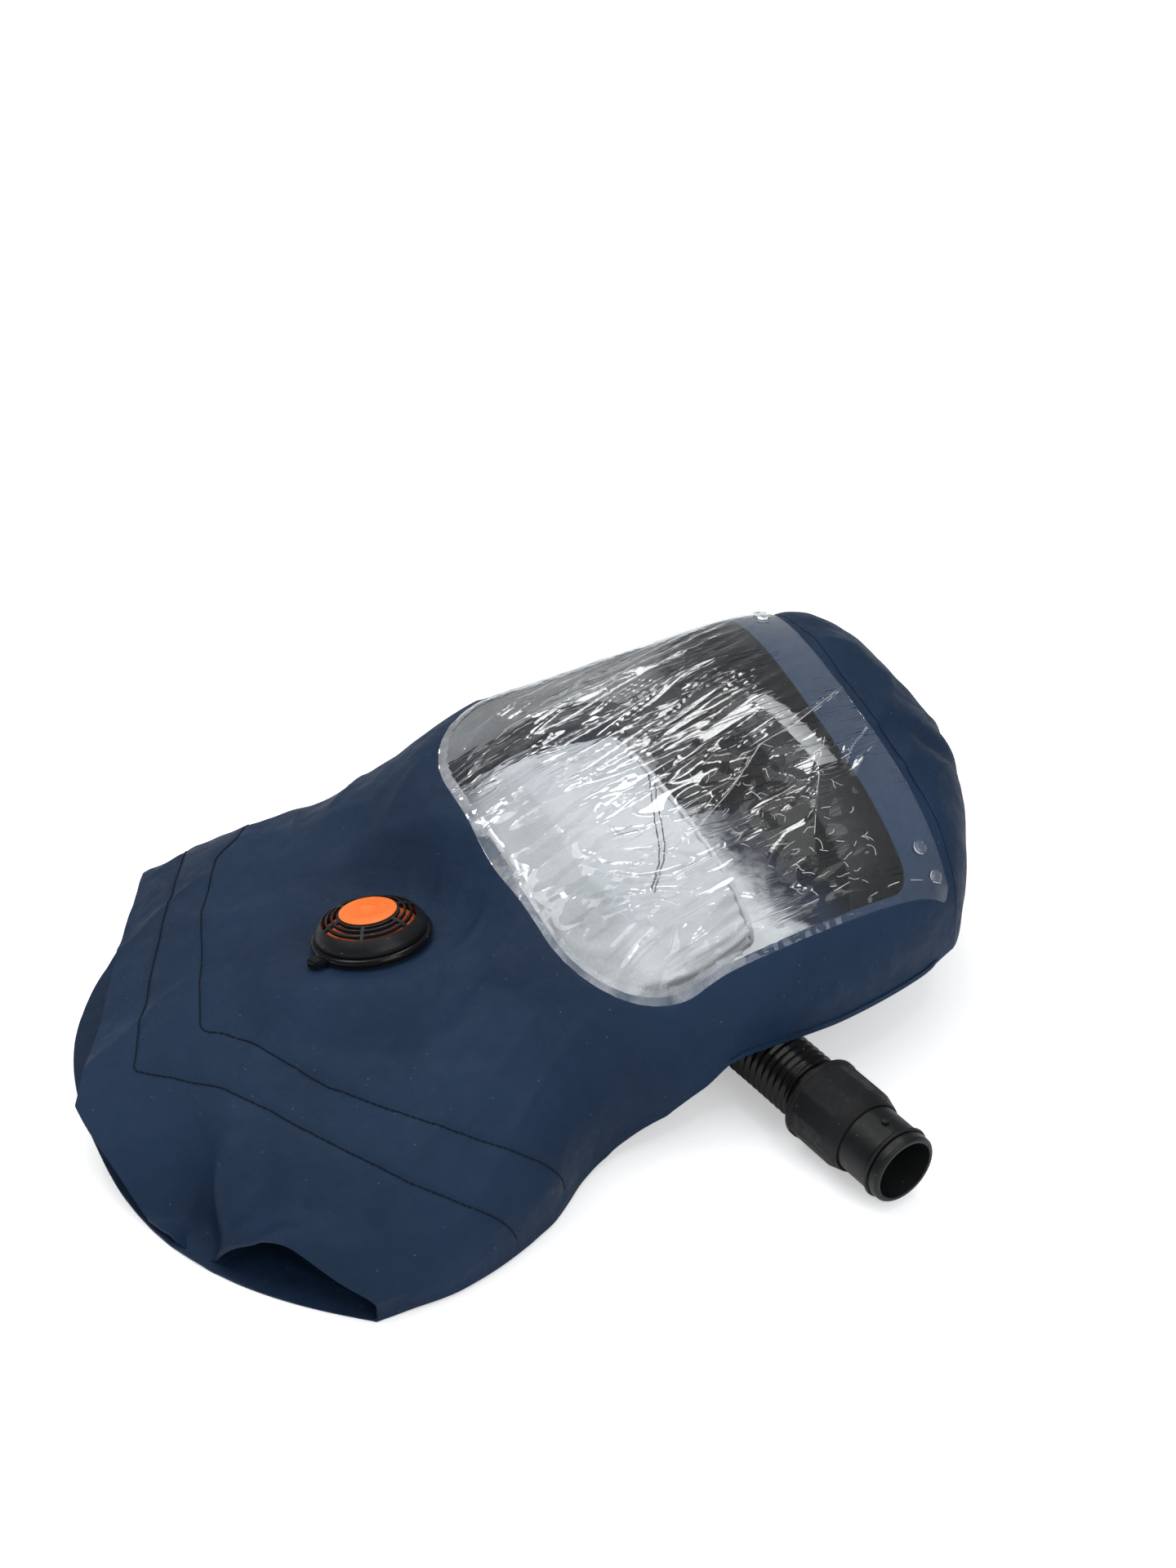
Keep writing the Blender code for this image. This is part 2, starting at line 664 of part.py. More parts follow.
def build_hose():
    count = len(ROUTE)
    plain = 4
    radii = [HOSE_R if i % 2 and plain < i < count - plain else HOSE_ROOT_R for i in range(count)]
    hose = add("air_hose", tube_mesh(ROUTE, radii, 2), GLOSS_BLACK)
    run = [ROUTE[0] * 2 - ROUTE[1], *ROUTE[::6], ROUTE[-1] + INLET_HEADING * 0.003]
    boolean(hose, add_cutter(tube_mesh(run, [HOSE_BORE_R] * len(run), 2)), "DIFFERENCE")

    bend = []
    for i in range(9):
        angle = math.pi / 2 * i / 8
        along = INLET_RUN + ELBOW_BEND * math.sin(angle)
        bend.append(ELBOW_MOUTH + INLET_HEADING * along + Vector((0, 0, ELBOW_BEND * (1 - math.cos(angle)))))
    top = Vector((INLET_CENTRE.x, INLET_CENTRE.y, INLET_Z + 0.011))
    path = [ELBOW_MOUTH, *bend, top]
    elbow = add("inlet_elbow", tube_mesh(path, [ELBOW_R] * len(path), 4), BLACK)
    flange = add_cutter(lathe_mesh(disc_profile(INLET_FLANGE_R, -INLET_FLANGE, 0.0), 32))
    flange.location = (INLET_CENTRE.x, INLET_CENTRE.y, INLET_Z - 0.0014)
    boolean(elbow, flange, "UNION")
    bore = [ELBOW_MOUTH - INLET_HEADING * 0.002, *path[1:-1], top + Vector((0, 0, 0.002))]
    boolean(elbow, add_cutter(tube_mesh(bore, [HOSE_BORE_R] * len(bore), 4)), "DIFFERENCE")

    seat = Matrix.Translation((INLET_CENTRE.x, INLET_CENTRE.y, INLET_Z))
    inner = ELBOW_R + 2 * GAP
    turned("inlet_gasket", ring_profile(INLET_RING_R, inner, -0.0011, -GAP), seat, RUBBER)
    turned("inlet_clamp_ring", ring_profile(INLET_RING_R, inner, CLOTH + GAP, CLOTH + 0.006), seat, BLACK)
    cuff = axes_at(ELBOW_MOUTH, INLET_HEADING, (0, 0, 1))
    turned("hose_cuff", ring_profile(HOSE_R + 0.0032, HOSE_R + 2 * GAP, -0.018, 0.010), cuff, RUBBER)


def build_connector():
    """The connector's local Z runs from the hose to the mouth."""
    heading = math.radians(CONNECTOR_HEADING)
    place = axes_at((*CONNECTOR_REAR, CONNECTOR_Z), (math.cos(heading), math.sin(heading), 0.0), (0, 0, 1))
    rear = NUT_HOLD + GAP
    spigot = turned("spigot", [
        (SPIGOT_R - 0.0015, CONNECTOR_LENGTH), (SPIGOT_R, CONNECTOR_LENGTH - 0.0015),
        (SPIGOT_R, O_RING_S + O_RING_GROOVE), (O_RING_SEAT_R, O_RING_S + O_RING_GROOVE),
        (O_RING_SEAT_R, O_RING_S - O_RING_GROOVE), (SPIGOT_R, O_RING_S - O_RING_GROOVE),
        (SPIGOT_R, 0.018), (SPIGOT_COLLAR_R, 0.018), (SPIGOT_COLLAR_R, 0.014), (SPIGOT_R, 0.014),
        (SPIGOT_R, rear), (SPIGOT_BORE_R, rear), (SPIGOT_BORE_R, CONNECTOR_LENGTH)], place, BLACK, 32)
    for side in (0.0, math.pi):
        lug = add_cutter(lathe_mesh(disc_profile(LUG_R, LUG_ROOT, LUG_REACH), 10))
        out = Matrix.Translation((0, 0, LUG_S)) @ Matrix.Rotation(math.pi / 2, 4, "Y")
        lug.matrix_world = place @ Matrix.Rotation(side, 4, "Z") @ out
        boolean(spigot, lug, "UNION")
    angles = [math.pi / 2 - math.tau * i / 6 for i in range(6)]
    ring = [(O_RING_MIDDLE_R + O_RING_R * math.cos(a), O_RING_S + O_RING_R * math.sin(a)) for a in angles]
    turned("spigot_o_ring", ring, place, RUBBER, 28)
    wide_r = NUT_R + 0.0005
    nut = turned("coupling_nut", [
        (NUT_R - 0.0030, NUT_LENGTH), (wide_r, NUT_LENGTH - NUT_CHAMFER), (wide_r, NUT_LIP + 0.001),
        (wide_r, 0.0), (NUT_BORE_R, 0.0), (NUT_BORE_R, 0.0135), (NUT_GROOVE_R, 0.0135), (NUT_GROOVE_R, 0.0185),
        (NUT_BORE_R, 0.0185), (NUT_BORE_R, NUT_LENGTH)], place, BLACK, 36)
    ring_of_flats = [(NUT_R * math.cos(a), NUT_R * math.sin(a)) for a in
                     [math.tau * i / NUT_FLATS for i in range(NUT_FLATS)]]
    wide = arc((0, 0), 0.040, 0, 350, 35)
    span = NUT_LENGTH - NUT_LIP - 0.008
    flats = add_cutter(outline_mesh([wide, ring_of_flats], span))
    flats.matrix_world = place @ Matrix.Translation((0, 0, NUT_LIP + span / 2))
    boolean(nut, flats, "DIFFERENCE")


def build_collar():
    rings = []
    for x, width, middle, height in COLLAR:
        ring = []
        for i in range(COLLAR_SIDES + 1):
            angle = math.tau * i / COLLAR_SIDES
            side, lift = math.cos(angle), math.sin(angle)
            side = math.copysign(abs(side) ** 0.8, side)
            ring.append(Vector((x, width * side, middle + height * lift + 0.12 * width * side)))
        rings.append(ring)
    mesh = sheet_mesh(rings, False)
    collar = add("neck_collar", mesh, PALE)
    solidify(collar, CLOTH)

    curve = bpy.data.curves.new("elastic", "CURVE")
    curve.dimensions = "3D"
    curve.bevel_depth = ELASTIC_R
    curve.bevel_resolution = 1
    spline = curve.splines.new("POLY")
    end = rings[-1][:-1]
    spline.points.add(len(end) - 1)
    for point, place in zip(spline.points, end):
        point.co = (place.x + ELASTIC_R + 2 * GAP, place.y, place.z, 1.0)
    spline.use_cyclic_u = True
    rough = bpy.data.objects.new("elastic", curve)
    cutters.objects.link(rough)
    add("neck_elastic", baked(rough), CHARCOAL)


def strap_mesh(path, width, across=(1.0, 0.0, 0.0)):
    """A flat strip along a path; its width lies along across."""
    half = Vector(across).normalized() * width / 2
    return sheet_mesh([[Vector(p) - half for p in path], [Vector(p) + half for p in path]], True)


def smooth_path(points, steps):
    """Points along a smooth curve through a few chosen points."""
    chosen = [Vector(p) for p in points]
    path = []
    for i in range(len(chosen) - 1):
        before, after = chosen[max(i - 1, 0)], chosen[min(i + 2, len(chosen) - 1)]
        for k in range(steps):
            t = k / steps
            start, end = (chosen[i + 1] - before) / 2, (after - chosen[i]) / 2
            blend = chosen[i] + (chosen[i + 1] - chosen[i]) * t * t * (3 - 2 * t)
            path.append(blend + start * t * (1 - t) ** 2 - end * t * t * (1 - t))
    path.append(chosen[-1])
    return path


def raised(path, height):
    """A path moved by height along its own upward normal in the YZ plane."""
    moved = []
    for i, point in enumerate(path):
        run = path[min(i + 1, len(path) - 1)] - path[max(i - 1, 0)]
        moved.append(point + Vector((0.0, -run.z, run.y)).normalized() * height)
    return moved


def oblong(width, low, high):
    """A rectangle's corners, low to high along local Y."""
    return [(-width / 2, low), (width / 2, low), (width / 2, high), (-width / 2, high)]


def build_harness():
    arch = smooth_path([(BAND_X, y, z) for y, z in BAND_ARCH], 4)
    band = add("forehead_band", strap_mesh(arch, BAND_WIDTH), CHARCOAL)
    solidify(band, BAND)
    pad_path = raised(arch[6:-6], -BAND - GAP)
    pad = add("sweat_pad", strap_mesh(pad_path, BAND_WIDTH - 0.006), CHARCOAL)
    solidify(pad, PAD)
    label = add("blank_label", strap_mesh(raised(arch[10:-4], GAP + LABEL), LABEL_WIDTH), WHITE)
    solidify(label, LABEL)

    for name, points, width, across in STRAPS:
        strap = add(name, strap_mesh(smooth_path(points, 4), width, across), CHARCOAL)
        solidify(strap, STRAP)

    x, y, z = RATCHET
    width, length, height = RATCHET_BOX
    slot = 2 * (PINION_R + TAIL_BAR[0]) + 0.0016
    bpy.ops.mesh.primitive_cube_add(size=1.0)
    box = bpy.context.object
    for group in list(box.users_collection):
        group.objects.unlink(box)
    box.data.transform(Matrix.Diagonal((width, length, height, 1.0)))
    housing = add("ratchet_housing", box.data.copy(), BLACK)
    bpy.data.objects.remove(box, do_unlink=True)
    housing.location = RATCHET
    edge = housing.modifiers.new("edge", "BEVEL")
    edge.width = 0.002
    edge.segments = 2
    channel = add_cutter(outline_mesh([oblong(slot, -length, length)], TAIL_BAR[1] + 0.0008))
    channel.location = RATCHET
    boolean(housing, channel, "DIFFERENCE")
    shaft_hole = add_cutter(lathe_mesh(disc_profile(SHAFT_HOLE_R, -HOLE_REACH, 0.0), 20))
    shaft_hole.location = RATCHET
    boolean(housing, shaft_hole, "DIFFERENCE")
    under = -height / 2 - 0.0006
    knob = turned("ratchet_knob", [
        (0.0, TAIL_BAR[1] / 2), (PINION_R - 0.0002, TAIL_BAR[1] / 2), (PINION_R - 0.0002, -TAIL_BAR[1] / 2),
        (0.004, -TAIL_BAR[1] / 2), (0.004, under), (KNOB_R - 0.001, under), (KNOB_R, under - 0.001),
        (KNOB_R, under - 0.009), (KNOB_R - 0.0015, under - 0.0105), (0.0, under - 0.0105)],
        Matrix.Translation(RATCHET), BLACK, 24)
    grips = [arc((KNOB_R * 1.03 * math.cos(a), KNOB_R * 1.03 * math.sin(a)), 0.0022, 0, 315, 7) for a in
             [math.tau * i / 8 for i in range(8)]]
    grip_tool = add_cutter(outline_mesh(grips, 0.03))
    grip_tool.location = (x, y, z + under - 0.0145 - 0.001)
    boolean(knob, grip_tool, "DIFFERENCE")
    for name, side_of, low, high in TAILS:
        centre = side_of * (PINION_R + TAIL_BAR[0] / 2 + 0.0003)
        bar = add(name, outline_mesh([oblong(TAIL_BAR[0], low, high)], TAIL_BAR[1]), BLACK)
        bar.location = (x + centre, y, z)


clear_scene()
build_hood()
build_visor()
build_valve()
build_hose()
build_connector()
build_collar()
build_harness()
for piece in [*parts.objects, *cutters.objects]:
    piece.location.x += CENTRE_X
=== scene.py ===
"""Looks of a navy respirator hood that lies on its back: wrinkled cloth, clear film visor, valve, hose, harness."""
import math

import bmesh
import bpy
import numpy as np
from mathutils import Matrix, Vector


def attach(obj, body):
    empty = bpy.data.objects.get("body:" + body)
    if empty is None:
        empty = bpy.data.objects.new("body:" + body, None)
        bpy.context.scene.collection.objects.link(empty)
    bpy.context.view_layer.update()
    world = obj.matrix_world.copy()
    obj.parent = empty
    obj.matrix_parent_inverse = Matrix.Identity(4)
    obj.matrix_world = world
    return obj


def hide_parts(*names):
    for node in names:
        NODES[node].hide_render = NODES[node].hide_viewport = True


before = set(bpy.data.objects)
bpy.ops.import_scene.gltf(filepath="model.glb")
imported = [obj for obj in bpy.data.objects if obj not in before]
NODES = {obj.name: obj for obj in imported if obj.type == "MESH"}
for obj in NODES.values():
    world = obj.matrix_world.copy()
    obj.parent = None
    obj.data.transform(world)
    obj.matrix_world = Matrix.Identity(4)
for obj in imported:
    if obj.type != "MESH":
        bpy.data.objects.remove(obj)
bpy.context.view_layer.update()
HOOD = "hood"


def metres(table):
    """A table of thousandths as metres or shares."""
    return tuple(metres(row) if isinstance(row, tuple) else row / 1000 for row in table)


# Sizes of the solids, repeated here because the cloth, film and hose follow them
CENTRE_X = 0.01455
# Sections of the hood: x, sweep of the hem, half widths and seam heights near and far, crest, roll, base.
# This and the other tables of traced points are in thousandths, so mostly in millimetres.
SECTIONS = np.array((
    (-320, 105, 200, 200, 6, 30, 36, 60, 0), (-244, 80, 201, 201, 6, 32, 67, 50, 0),
    (-134, 30, 182, 188, 8, 38, 90, 30, 0), (-60, 8, 150, 170, 14, 55, 119, 130, 4),
    (0, 0, 150, 172, 34, 72, 138, 160, 24), (50, 0, 151, 170, 50, 76, 146, 150, 47),
    (120, 0, 150, 166, 54, 77, 155, 170, 53), (180, 0, 141, 162, 57, 79, 162, 180, 55),
    (212, 0, 130, 155, 60, 82, 161, 170, 57),
)) / 1000
HEM_X, BROW_X = SECTIONS[0, 0], SECTIONS[-1, 0]
HEM_SWEEP = SECTIONS[0, 1]
CROWN_LENGTH, CROWN_TIP_Y, CROWN_TIP_Z, CROWN_SEAM_SHARE = 0.070, 0.055, 0.100, 0.36
TOP_ROUNDING, BOTTOM_ROUNDING, CROWN_ROUNDING, CROWN_NEAR_ROUNDING, CROWN_FAR_ROUNDING = 3.0, 5.0, 1.8, 1.3, 3.2
BACK_HEM_REACH, BACK_HEM_CURVE, HEAD_SKEW, FLAT_CUT = -0.008, 2.6, 0.08, 0.001
SEAM_STRIP, SEAM_GAP, SEAM_LAP = 0.0025, 0.0003, 0.0001
CLOTH, HEM_EXTRA, FILM = 0.0011, 0.0009, 0.0005
# Waves of the front hem: middle, height, width and length
HEM_WAVES = metres(((-160, 18, 22, 75), (-95, -32, 34, 70)))
HEM_WAVE_REACH = 0.09
# Outlines as chin, brow, near side, far side, radius at the chin and at the brow
VISOR = metres((-50, 204.5, -130, 140, 66, 6))
WINDOW = metres((-45.5, 176.5, -126.5, 136.5, 61.5, 12))
VISOR_NEAR_FLARE = 0.20
VALVE_CENTRE = Vector((-0.131, -0.0005, 0.0905))
VALVE_NORMAL = Vector((-0.02, 0.20, 1.0)).normalized()
VALVE_FLAT, VALVE_BLEND, VALVE_HOLE_R = 0.046, 0.092, 0.0224
HOSE_R, HOSE_ROOT_R, HOSE_WALL, RIB_PITCH = 0.0215, 0.0192, 0.0020, 0.0053
HOSE_Z, CONNECTOR_Z = 0.0253, 0.0274
CONNECTOR_REAR, CONNECTOR_HEADING = (0.0746, -0.1818), -82.0
HOSE_STRAIGHT, HOSE_BEND_R, HOSE_BEND = 0.066, 0.190, 40.0
NUT_HOLD, NUT_LENGTH, NUT_R = 0.008, 0.042, 0.0265
CONNECTOR_LENGTH, SPIGOT_R, SPIGOT_BORE_R = 0.0745, 0.022, 0.0185
O_RING_S, LUG_S = 0.066, 0.055
HOSE_COVER_Z, HOSE_COVER_FULL, HOSE_COVER_NONE = 0.0535, 0.023, 0.055
INLET_RUN, ELBOW_BEND, ELBOW_R = 0.016, 0.030, 0.0215
INLET_FLAT, INLET_BLEND = 0.050, 0.090


def ease(value, full, none):
    """1 up to full, 0 from none on, smooth between."""
    t = np.clip((value - full) / (none - full), 0.0, 1.0)
    return 1.0 - t * t * (3.0 - 2.0 * t)


def hose_route():
    """The hose's line from the connector to the elbow, and its last heading."""
    heading = math.radians(CONNECTOR_HEADING + 180.0)
    spot = Vector((*CONNECTOR_REAR, 0.0)) - Vector((math.cos(heading), math.sin(heading), 0.0)) * NUT_HOLD
    route = [spot.copy()]
    step = RIB_PITCH / 2
    runs = ((HOSE_STRAIGHT, 0.0), (math.radians(HOSE_BEND) * HOSE_BEND_R, -1 / HOSE_BEND_R), (HOSE_STRAIGHT, 0.0))
    for length, curve in runs:
        for _ in range(round(length / step)):
            heading += curve * step
            spot = spot + Vector((math.cos(heading), math.sin(heading), 0.0)) * step
            route.append(spot.copy())
    count = len(route) - 1
    for i, point in enumerate(route):
        point.z = CONNECTOR_Z + (HOSE_Z - CONNECTOR_Z) * (1 - float(ease(i / count, 0.15, 0.5)))
    return route, Vector((math.cos(heading), math.sin(heading), 0.0))


ROUTE, INLET_HEADING = hose_route()
ROUTE_XY = np.array([(p.x, p.y) for p in ROUTE[::4]])
ELBOW_MOUTH = ROUTE[-1] + INLET_HEADING * SEAM_GAP
INLET = ELBOW_MOUTH + INLET_HEADING * (INLET_RUN + ELBOW_BEND)
INLET_Z = HOSE_Z + ELBOW_BEND + 0.004


def axes_at(origin, heading, lean=(1.0, 0.0, 0.0)):
    """A placement whose local Z runs along heading, in the row frame."""
    z = Vector(heading).normalized()
    x = Vector(lean)
    x = (x - z * x.dot(z)).normalized()
    turn = Matrix((x, z.cross(x), z)).transposed().to_4x4()
    return Matrix.Translation(Vector(origin) + Vector((CENTRE_X, 0.0, 0.0))) @ turn


VALVE = axes_at(VALVE_CENTRE, VALVE_NORMAL)


def away_from(spot, x, y):
    return np.hypot(x - spot.x, y - spot.y)


def lattice_noise(u, v, seed):
    """Smooth noise from about -1 to 1 over arrays of plane points."""
    turns = np.random.default_rng(seed).uniform(0.0, math.tau, (64, 64))
    iu, iv = np.floor(u).astype(int), np.floor(v).astype(int)
    fu, fv = u - iu, v - iv

    def corner(du, dv):
        angle = turns[(iu + du) % 64, (iv + dv) % 64]
        return np.cos(angle) * (fu - du) + np.sin(angle) * (fv - dv)

    su, sv = fu ** 3 * (fu * (fu * 6 - 15) + 10), fv ** 3 * (fv * (fv * 6 - 15) + 10)
    low = corner(0, 0) * (1 - su) + corner(1, 0) * su
    high = corner(0, 1) * (1 - su) + corner(1, 1) * su
    return 1.5 * (low * (1 - sv) + high * sv)


def ridges(u, v, seed, sharp):
    """Thin raised creases, 0 to 1."""
    return np.clip(1.0 - np.abs(lattice_noise(u, v, seed)) * 1.6, 0.0, 1.0) ** sharp


def section(x, column):
    """A smooth value of one section size between its stations."""
    stations = SECTIONS[:, 0]
    values = SECTIONS[:, column]
    slopes = np.empty(len(stations))
    slopes[1:-1] = (values[2:] - values[:-2]) / (stations[2:] - stations[:-2])
    slopes[0] = (values[1] - values[0]) / (stations[1] - stations[0])
    slopes[-1] = (values[-1] - values[-2]) / (stations[-1] - stations[-2])
    k = np.clip(np.searchsorted(stations, x, side="left") - 1, 0, len(stations) - 2)
    span = stations[k + 1] - stations[k]
    t = (x - stations[k]) / span
    bend = span * (t * (1 - t) ** 2 * slopes[k] - t * t * (1 - t) * slopes[k + 1])
    return values[k] + (values[k + 1] - values[k]) * t * t * (3 - 2 * t) + bend


def rounded(share, power):
    side = np.sin(share * math.pi / 2)
    return side, np.clip(1.0 - np.abs(side) ** power, 0.0, 1.0) ** (1 / power)


def over_hose(x, y, height):
    """A height of the cloth, lifted where it lies over the hose."""
    away = np.sqrt(((x[..., None] - ROUTE_XY[:, 0]) ** 2 + (y[..., None] - ROUTE_XY[:, 1]) ** 2).min(axis=-1))
    return height + np.clip(HOSE_COVER_Z - height, 0.0, None) * ease(away, HOSE_COVER_FULL, HOSE_COVER_NONE)


def skewed(x, y):
    return x + HEAD_SKEW * (1 - ease(x, 0.0, BROW_X)) * y


def hood_points(along, across, top, edge=False):
    """Points of the hood's outside as an array (rows, columns, 3); edge gives the cut edge at the seam."""
    along, across = np.broadcast_arrays(along, across)
    x = np.minimum(along, BROW_X)
    sweep, near, far, seam_near, seam_far, crest, roll, base = (section(x, c) for c in range(1, 9))
    side, lift = rounded(across, TOP_ROUNDING if top else BOTTOM_ROUNDING)
    half = np.where(side > 0, far, near)
    y = side * half
    side_seam = over_hose(x, y, np.where(side > 0, seam_far, seam_near))
    base = over_hose(x, y, base)
    turn = np.clip((along - BROW_X) / CROWN_LENGTH, 0.0, 1.0)
    reach, shrink = rounded(turn, CROWN_ROUNDING)
    seam = CROWN_TIP_Z + (side_seam - CROWN_TIP_Z) * shrink
    share = sweep / HEM_SWEEP
    spread = np.abs(y) / half
    if top:
        z = seam + SEAM_STRIP + (crest + roll * y - side_seam - SEAM_STRIP) * lift * shrink
        fade = ease(along - HEM_X, 0.0, HEM_WAVE_REACH)
        for middle, height, width, length in HEM_WAVES:
            z = z + height * np.exp(-(((y - middle) / width) ** 2)) * ease(along - HEM_X, 0.0, length) * fade
        z = np.maximum(z, seam + SEAM_STRIP)
        x = x + sweep * np.where(side > 0, spread, spread * spread)
    else:
        z = np.maximum(seam - SEAM_STRIP - (side_seam - SEAM_STRIP - base) * lift * shrink - FLAT_CUT, 0.0)
        x = x - BACK_HEM_REACH * share + (sweep + BACK_HEM_REACH * share) * spread ** BACK_HEM_CURVE
    x = x + CROWN_LENGTH * reach
    narrow = CROWN_NEAR_ROUNDING + (CROWN_FAR_ROUNDING - CROWN_NEAR_ROUNDING) * (side + 1) / 2
    slim = rounded(turn, narrow)[1]
    y = CROWN_TIP_Y * (1 - slim) + y * (CROWN_SEAM_SHARE + (1 - CROWN_SEAM_SHARE) * slim)
    x = skewed(x, y)
    if edge:
        z = seam + (-SEAM_LAP if top else SEAM_LAP)
    elif top:
        dx, dy = x - VALVE_CENTRE.x, y - VALVE_CENTRE.y
        plane = VALVE_CENTRE.z - (VALVE_NORMAL.x * dx + VALVE_NORMAL.y * dy) / VALVE_NORMAL.z
        z = z + (plane - z) * ease(away_from(VALVE_CENTRE, x, y), VALVE_FLAT, VALVE_BLEND)
    else:
        z = z + (INLET_Z - z) * ease(away_from(INLET, x, y), INLET_FLAT, INLET_BLEND)
    return np.stack([x + CENTRE_X, y, z], axis=-1)


def grid_normals(points, top):
    run = np.gradient(points, axis=0)
    width = np.gradient(points, axis=1)
    normal = np.cross(run, width)
    normal /= np.maximum(np.linalg.norm(normal, axis=-1, keepdims=True), 1e-12)
    return normal if top else -normal


def outline_distance(x, y, outline):
    """Signed distance to a window outline, below 0 inside it."""
    chin, brow, near, far, chin_r, brow_r = outline
    y = np.where(y < 0, y / (1 + VISOR_NEAR_FLARE * (VISOR[1] - x)), y)
    middle_x, middle_y = (chin + brow) / 2, (near + far) / 2
    radius = np.where(x < middle_x, chin_r, brow_r)
    qx = np.abs(x - middle_x) - (brow - chin) / 2 + radius
    qy = np.abs(y - middle_y) - (far - near) / 2 + radius
    return np.minimum(np.maximum(qx, qy), 0.0) + np.hypot(np.maximum(qx, 0.0), np.maximum(qy, 0.0)) - radius


def half_width(along, sign):
    x = np.minimum(along, BROW_X)
    return np.where(sign > 0, section(x, 3), section(x, 2))


def share_across(along, y):
    """Where a point lies across the hood, from -1 at the near seam to 1 at the far one."""
    return np.arcsin(np.clip(y / half_width(along, y), -1.0, 1.0)) * 2 / math.pi


def trimmed(along, across, distance, keep_inside):
    """Which cells of a grid stay, with the cells' edge points slid onto the outline."""
    y = np.sin(across * math.pi / 2) * half_width(along, across)
    value = distance(along, y)
    centre = (value[:-1, :-1] + value[1:, :-1] + value[:-1, 1:] + value[1:, 1:]) / 4
    keep = centre < 0 if keep_inside else centre > 0
    count = np.zeros(value.shape, int)
    cells = np.zeros(value.shape, int)
    for di in (0, 1):
        for dj in (0, 1):
            count[di:value.shape[0] - 1 + di, dj:value.shape[1] - 1 + dj] += keep
            cells[di:value.shape[0] - 1 + di, dj:value.shape[1] - 1 + dj] += 1
    rim = (count > 0) & (count < cells)
    a, b = along[rim], y[rim]
    step = 1e-4
    for _ in range(4):
        d = distance(a, b)
        gx = (distance(a + step, b) - distance(a - step, b)) / (2 * step)
        gy = (distance(a, b + step) - distance(a, b - step)) / (2 * step)
        length = np.maximum(gx * gx + gy * gy, 1e-6)
        a, b = a - d * gx / length, b - d * gy / length
    along, across = along.copy(), across.copy()
    along[rim] = a
    across[rim] = share_across(a, b)
    return along, across, keep


def mesh_of(points, faces, edges=()):
    mesh = bpy.data.meshes.new("shape")
    mesh.from_pydata(points, edges, faces)
    return mesh


def settle(mesh, place=None, sharp=35, weld=0.000002, turn_out=True):
    """Moves a mesh to its place, closes its seams and sets its edges."""
    if place is not None:
        mesh.transform(place)
    work = bmesh.new()
    work.from_mesh(mesh)
    bmesh.ops.delete(work, geom=[v for v in work.verts if not v.link_faces], context="VERTS")
    bmesh.ops.remove_doubles(work, verts=work.verts, dist=weld)
    if turn_out:
        bmesh.ops.recalc_face_normals(work, faces=work.faces)
    work.to_mesh(mesh)
    work.free()
    mesh.shade_smooth()
    mesh.set_sharp_from_angle(angle=math.radians(sharp))
    return mesh


def shell_mesh(outer, inner, keep, top, inner_slot=None, outer_slot=None, ring=False):
    """A thin closed sheet between two grids; cells that aren't kept are open, and a ring's ends meet."""
    rows, columns = outer.shape[:2]
    total = rows * columns
    faces, slots = [], []
    for i, j in np.argwhere(keep).tolist():
        a, b, c, d = (m * columns + n for m, n in ((i, j), (i + 1, j), (i + 1, j + 1), (i, j + 1)))
        loop = (a, b, c, d) if top else (d, c, b, a)
        faces += [loop, tuple(total + k for k in reversed(loop))]
        slots += [0 if slot is None else int(slot[i, j]) for slot in (outer_slot, inner_slot)]
        for p, q, ni, nj in ((a, b, i, j - 1), (b, c, i + 1, j), (c, d, i, j + 1), (d, a, i - 1, j)):
            nj = nj % (columns - 1) if ring else nj
            if 0 <= ni < rows - 1 and 0 <= nj < columns - 1 and keep[ni, nj]:
                continue
            wall = (q, p, total + p, total + q)
            faces.append(wall if top else wall[::-1])
            slots.append(0)
    mesh = mesh_of(np.concatenate([outer.reshape(-1, 3), inner.reshape(-1, 3)]).tolist(), faces)
    mesh.polygons.foreach_set("material_index", slots)
    return settle(mesh, None, 72, 0.000005, False)


def shown(name, data, place=(0.0, 0.0, 0.0), turn=(0.0, 0.0, 0.0)):
    made = bpy.data.objects.new(name, data)
    bpy.context.scene.collection.objects.link(made)
    made.location, made.rotation_euler = place, turn
    return made


def piece(name, mesh, looks, nodes=(), body=HOOD):
    """Puts a finished mesh into the scene as a piece of the object."""
    made = shown(name, mesh)
    if mesh.materials:
        mesh.materials.clear()
    for look in looks if isinstance(looks, list) else [looks]:
        mesh.materials.append(look)
    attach(made, body)
    if nodes:
        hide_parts(*nodes)
    return made


def eased_loop(points, radius, closed=True, steps=3):
    """A profile whose corners are rounded."""
    count = len(points)
    result = []
    for i, point in enumerate(points):
        p = Vector(point)
        if not closed and i in (0, count - 1):
            result.append(tuple(p))
            continue
        before, after = Vector(points[i - 1]) - p, Vector(points[(i + 1) % count]) - p
        cut = min(radius, before.length * 0.45, after.length * 0.45)
        start, end = p + before.normalized() * cut, p + after.normalized() * cut
        for k in range(steps + 1):
            t = k / steps
            result.append(tuple(start * (1 - t) ** 2 + p * 2 * t * (1 - t) + end * t * t))
    return result


def ring_faces(rings, count, rings_meet, loops_meet=True):
    """Faces between rings of count points each."""
    return [(i * count + k, n * count + k, n * count + m, i * count + m)
            for i, n in ((i, (i + 1) % rings) for i in range(rings if rings_meet else rings - 1))
            for k, m in ((k, (k + 1) % count) for k in range(count if loops_meet else count - 1))]


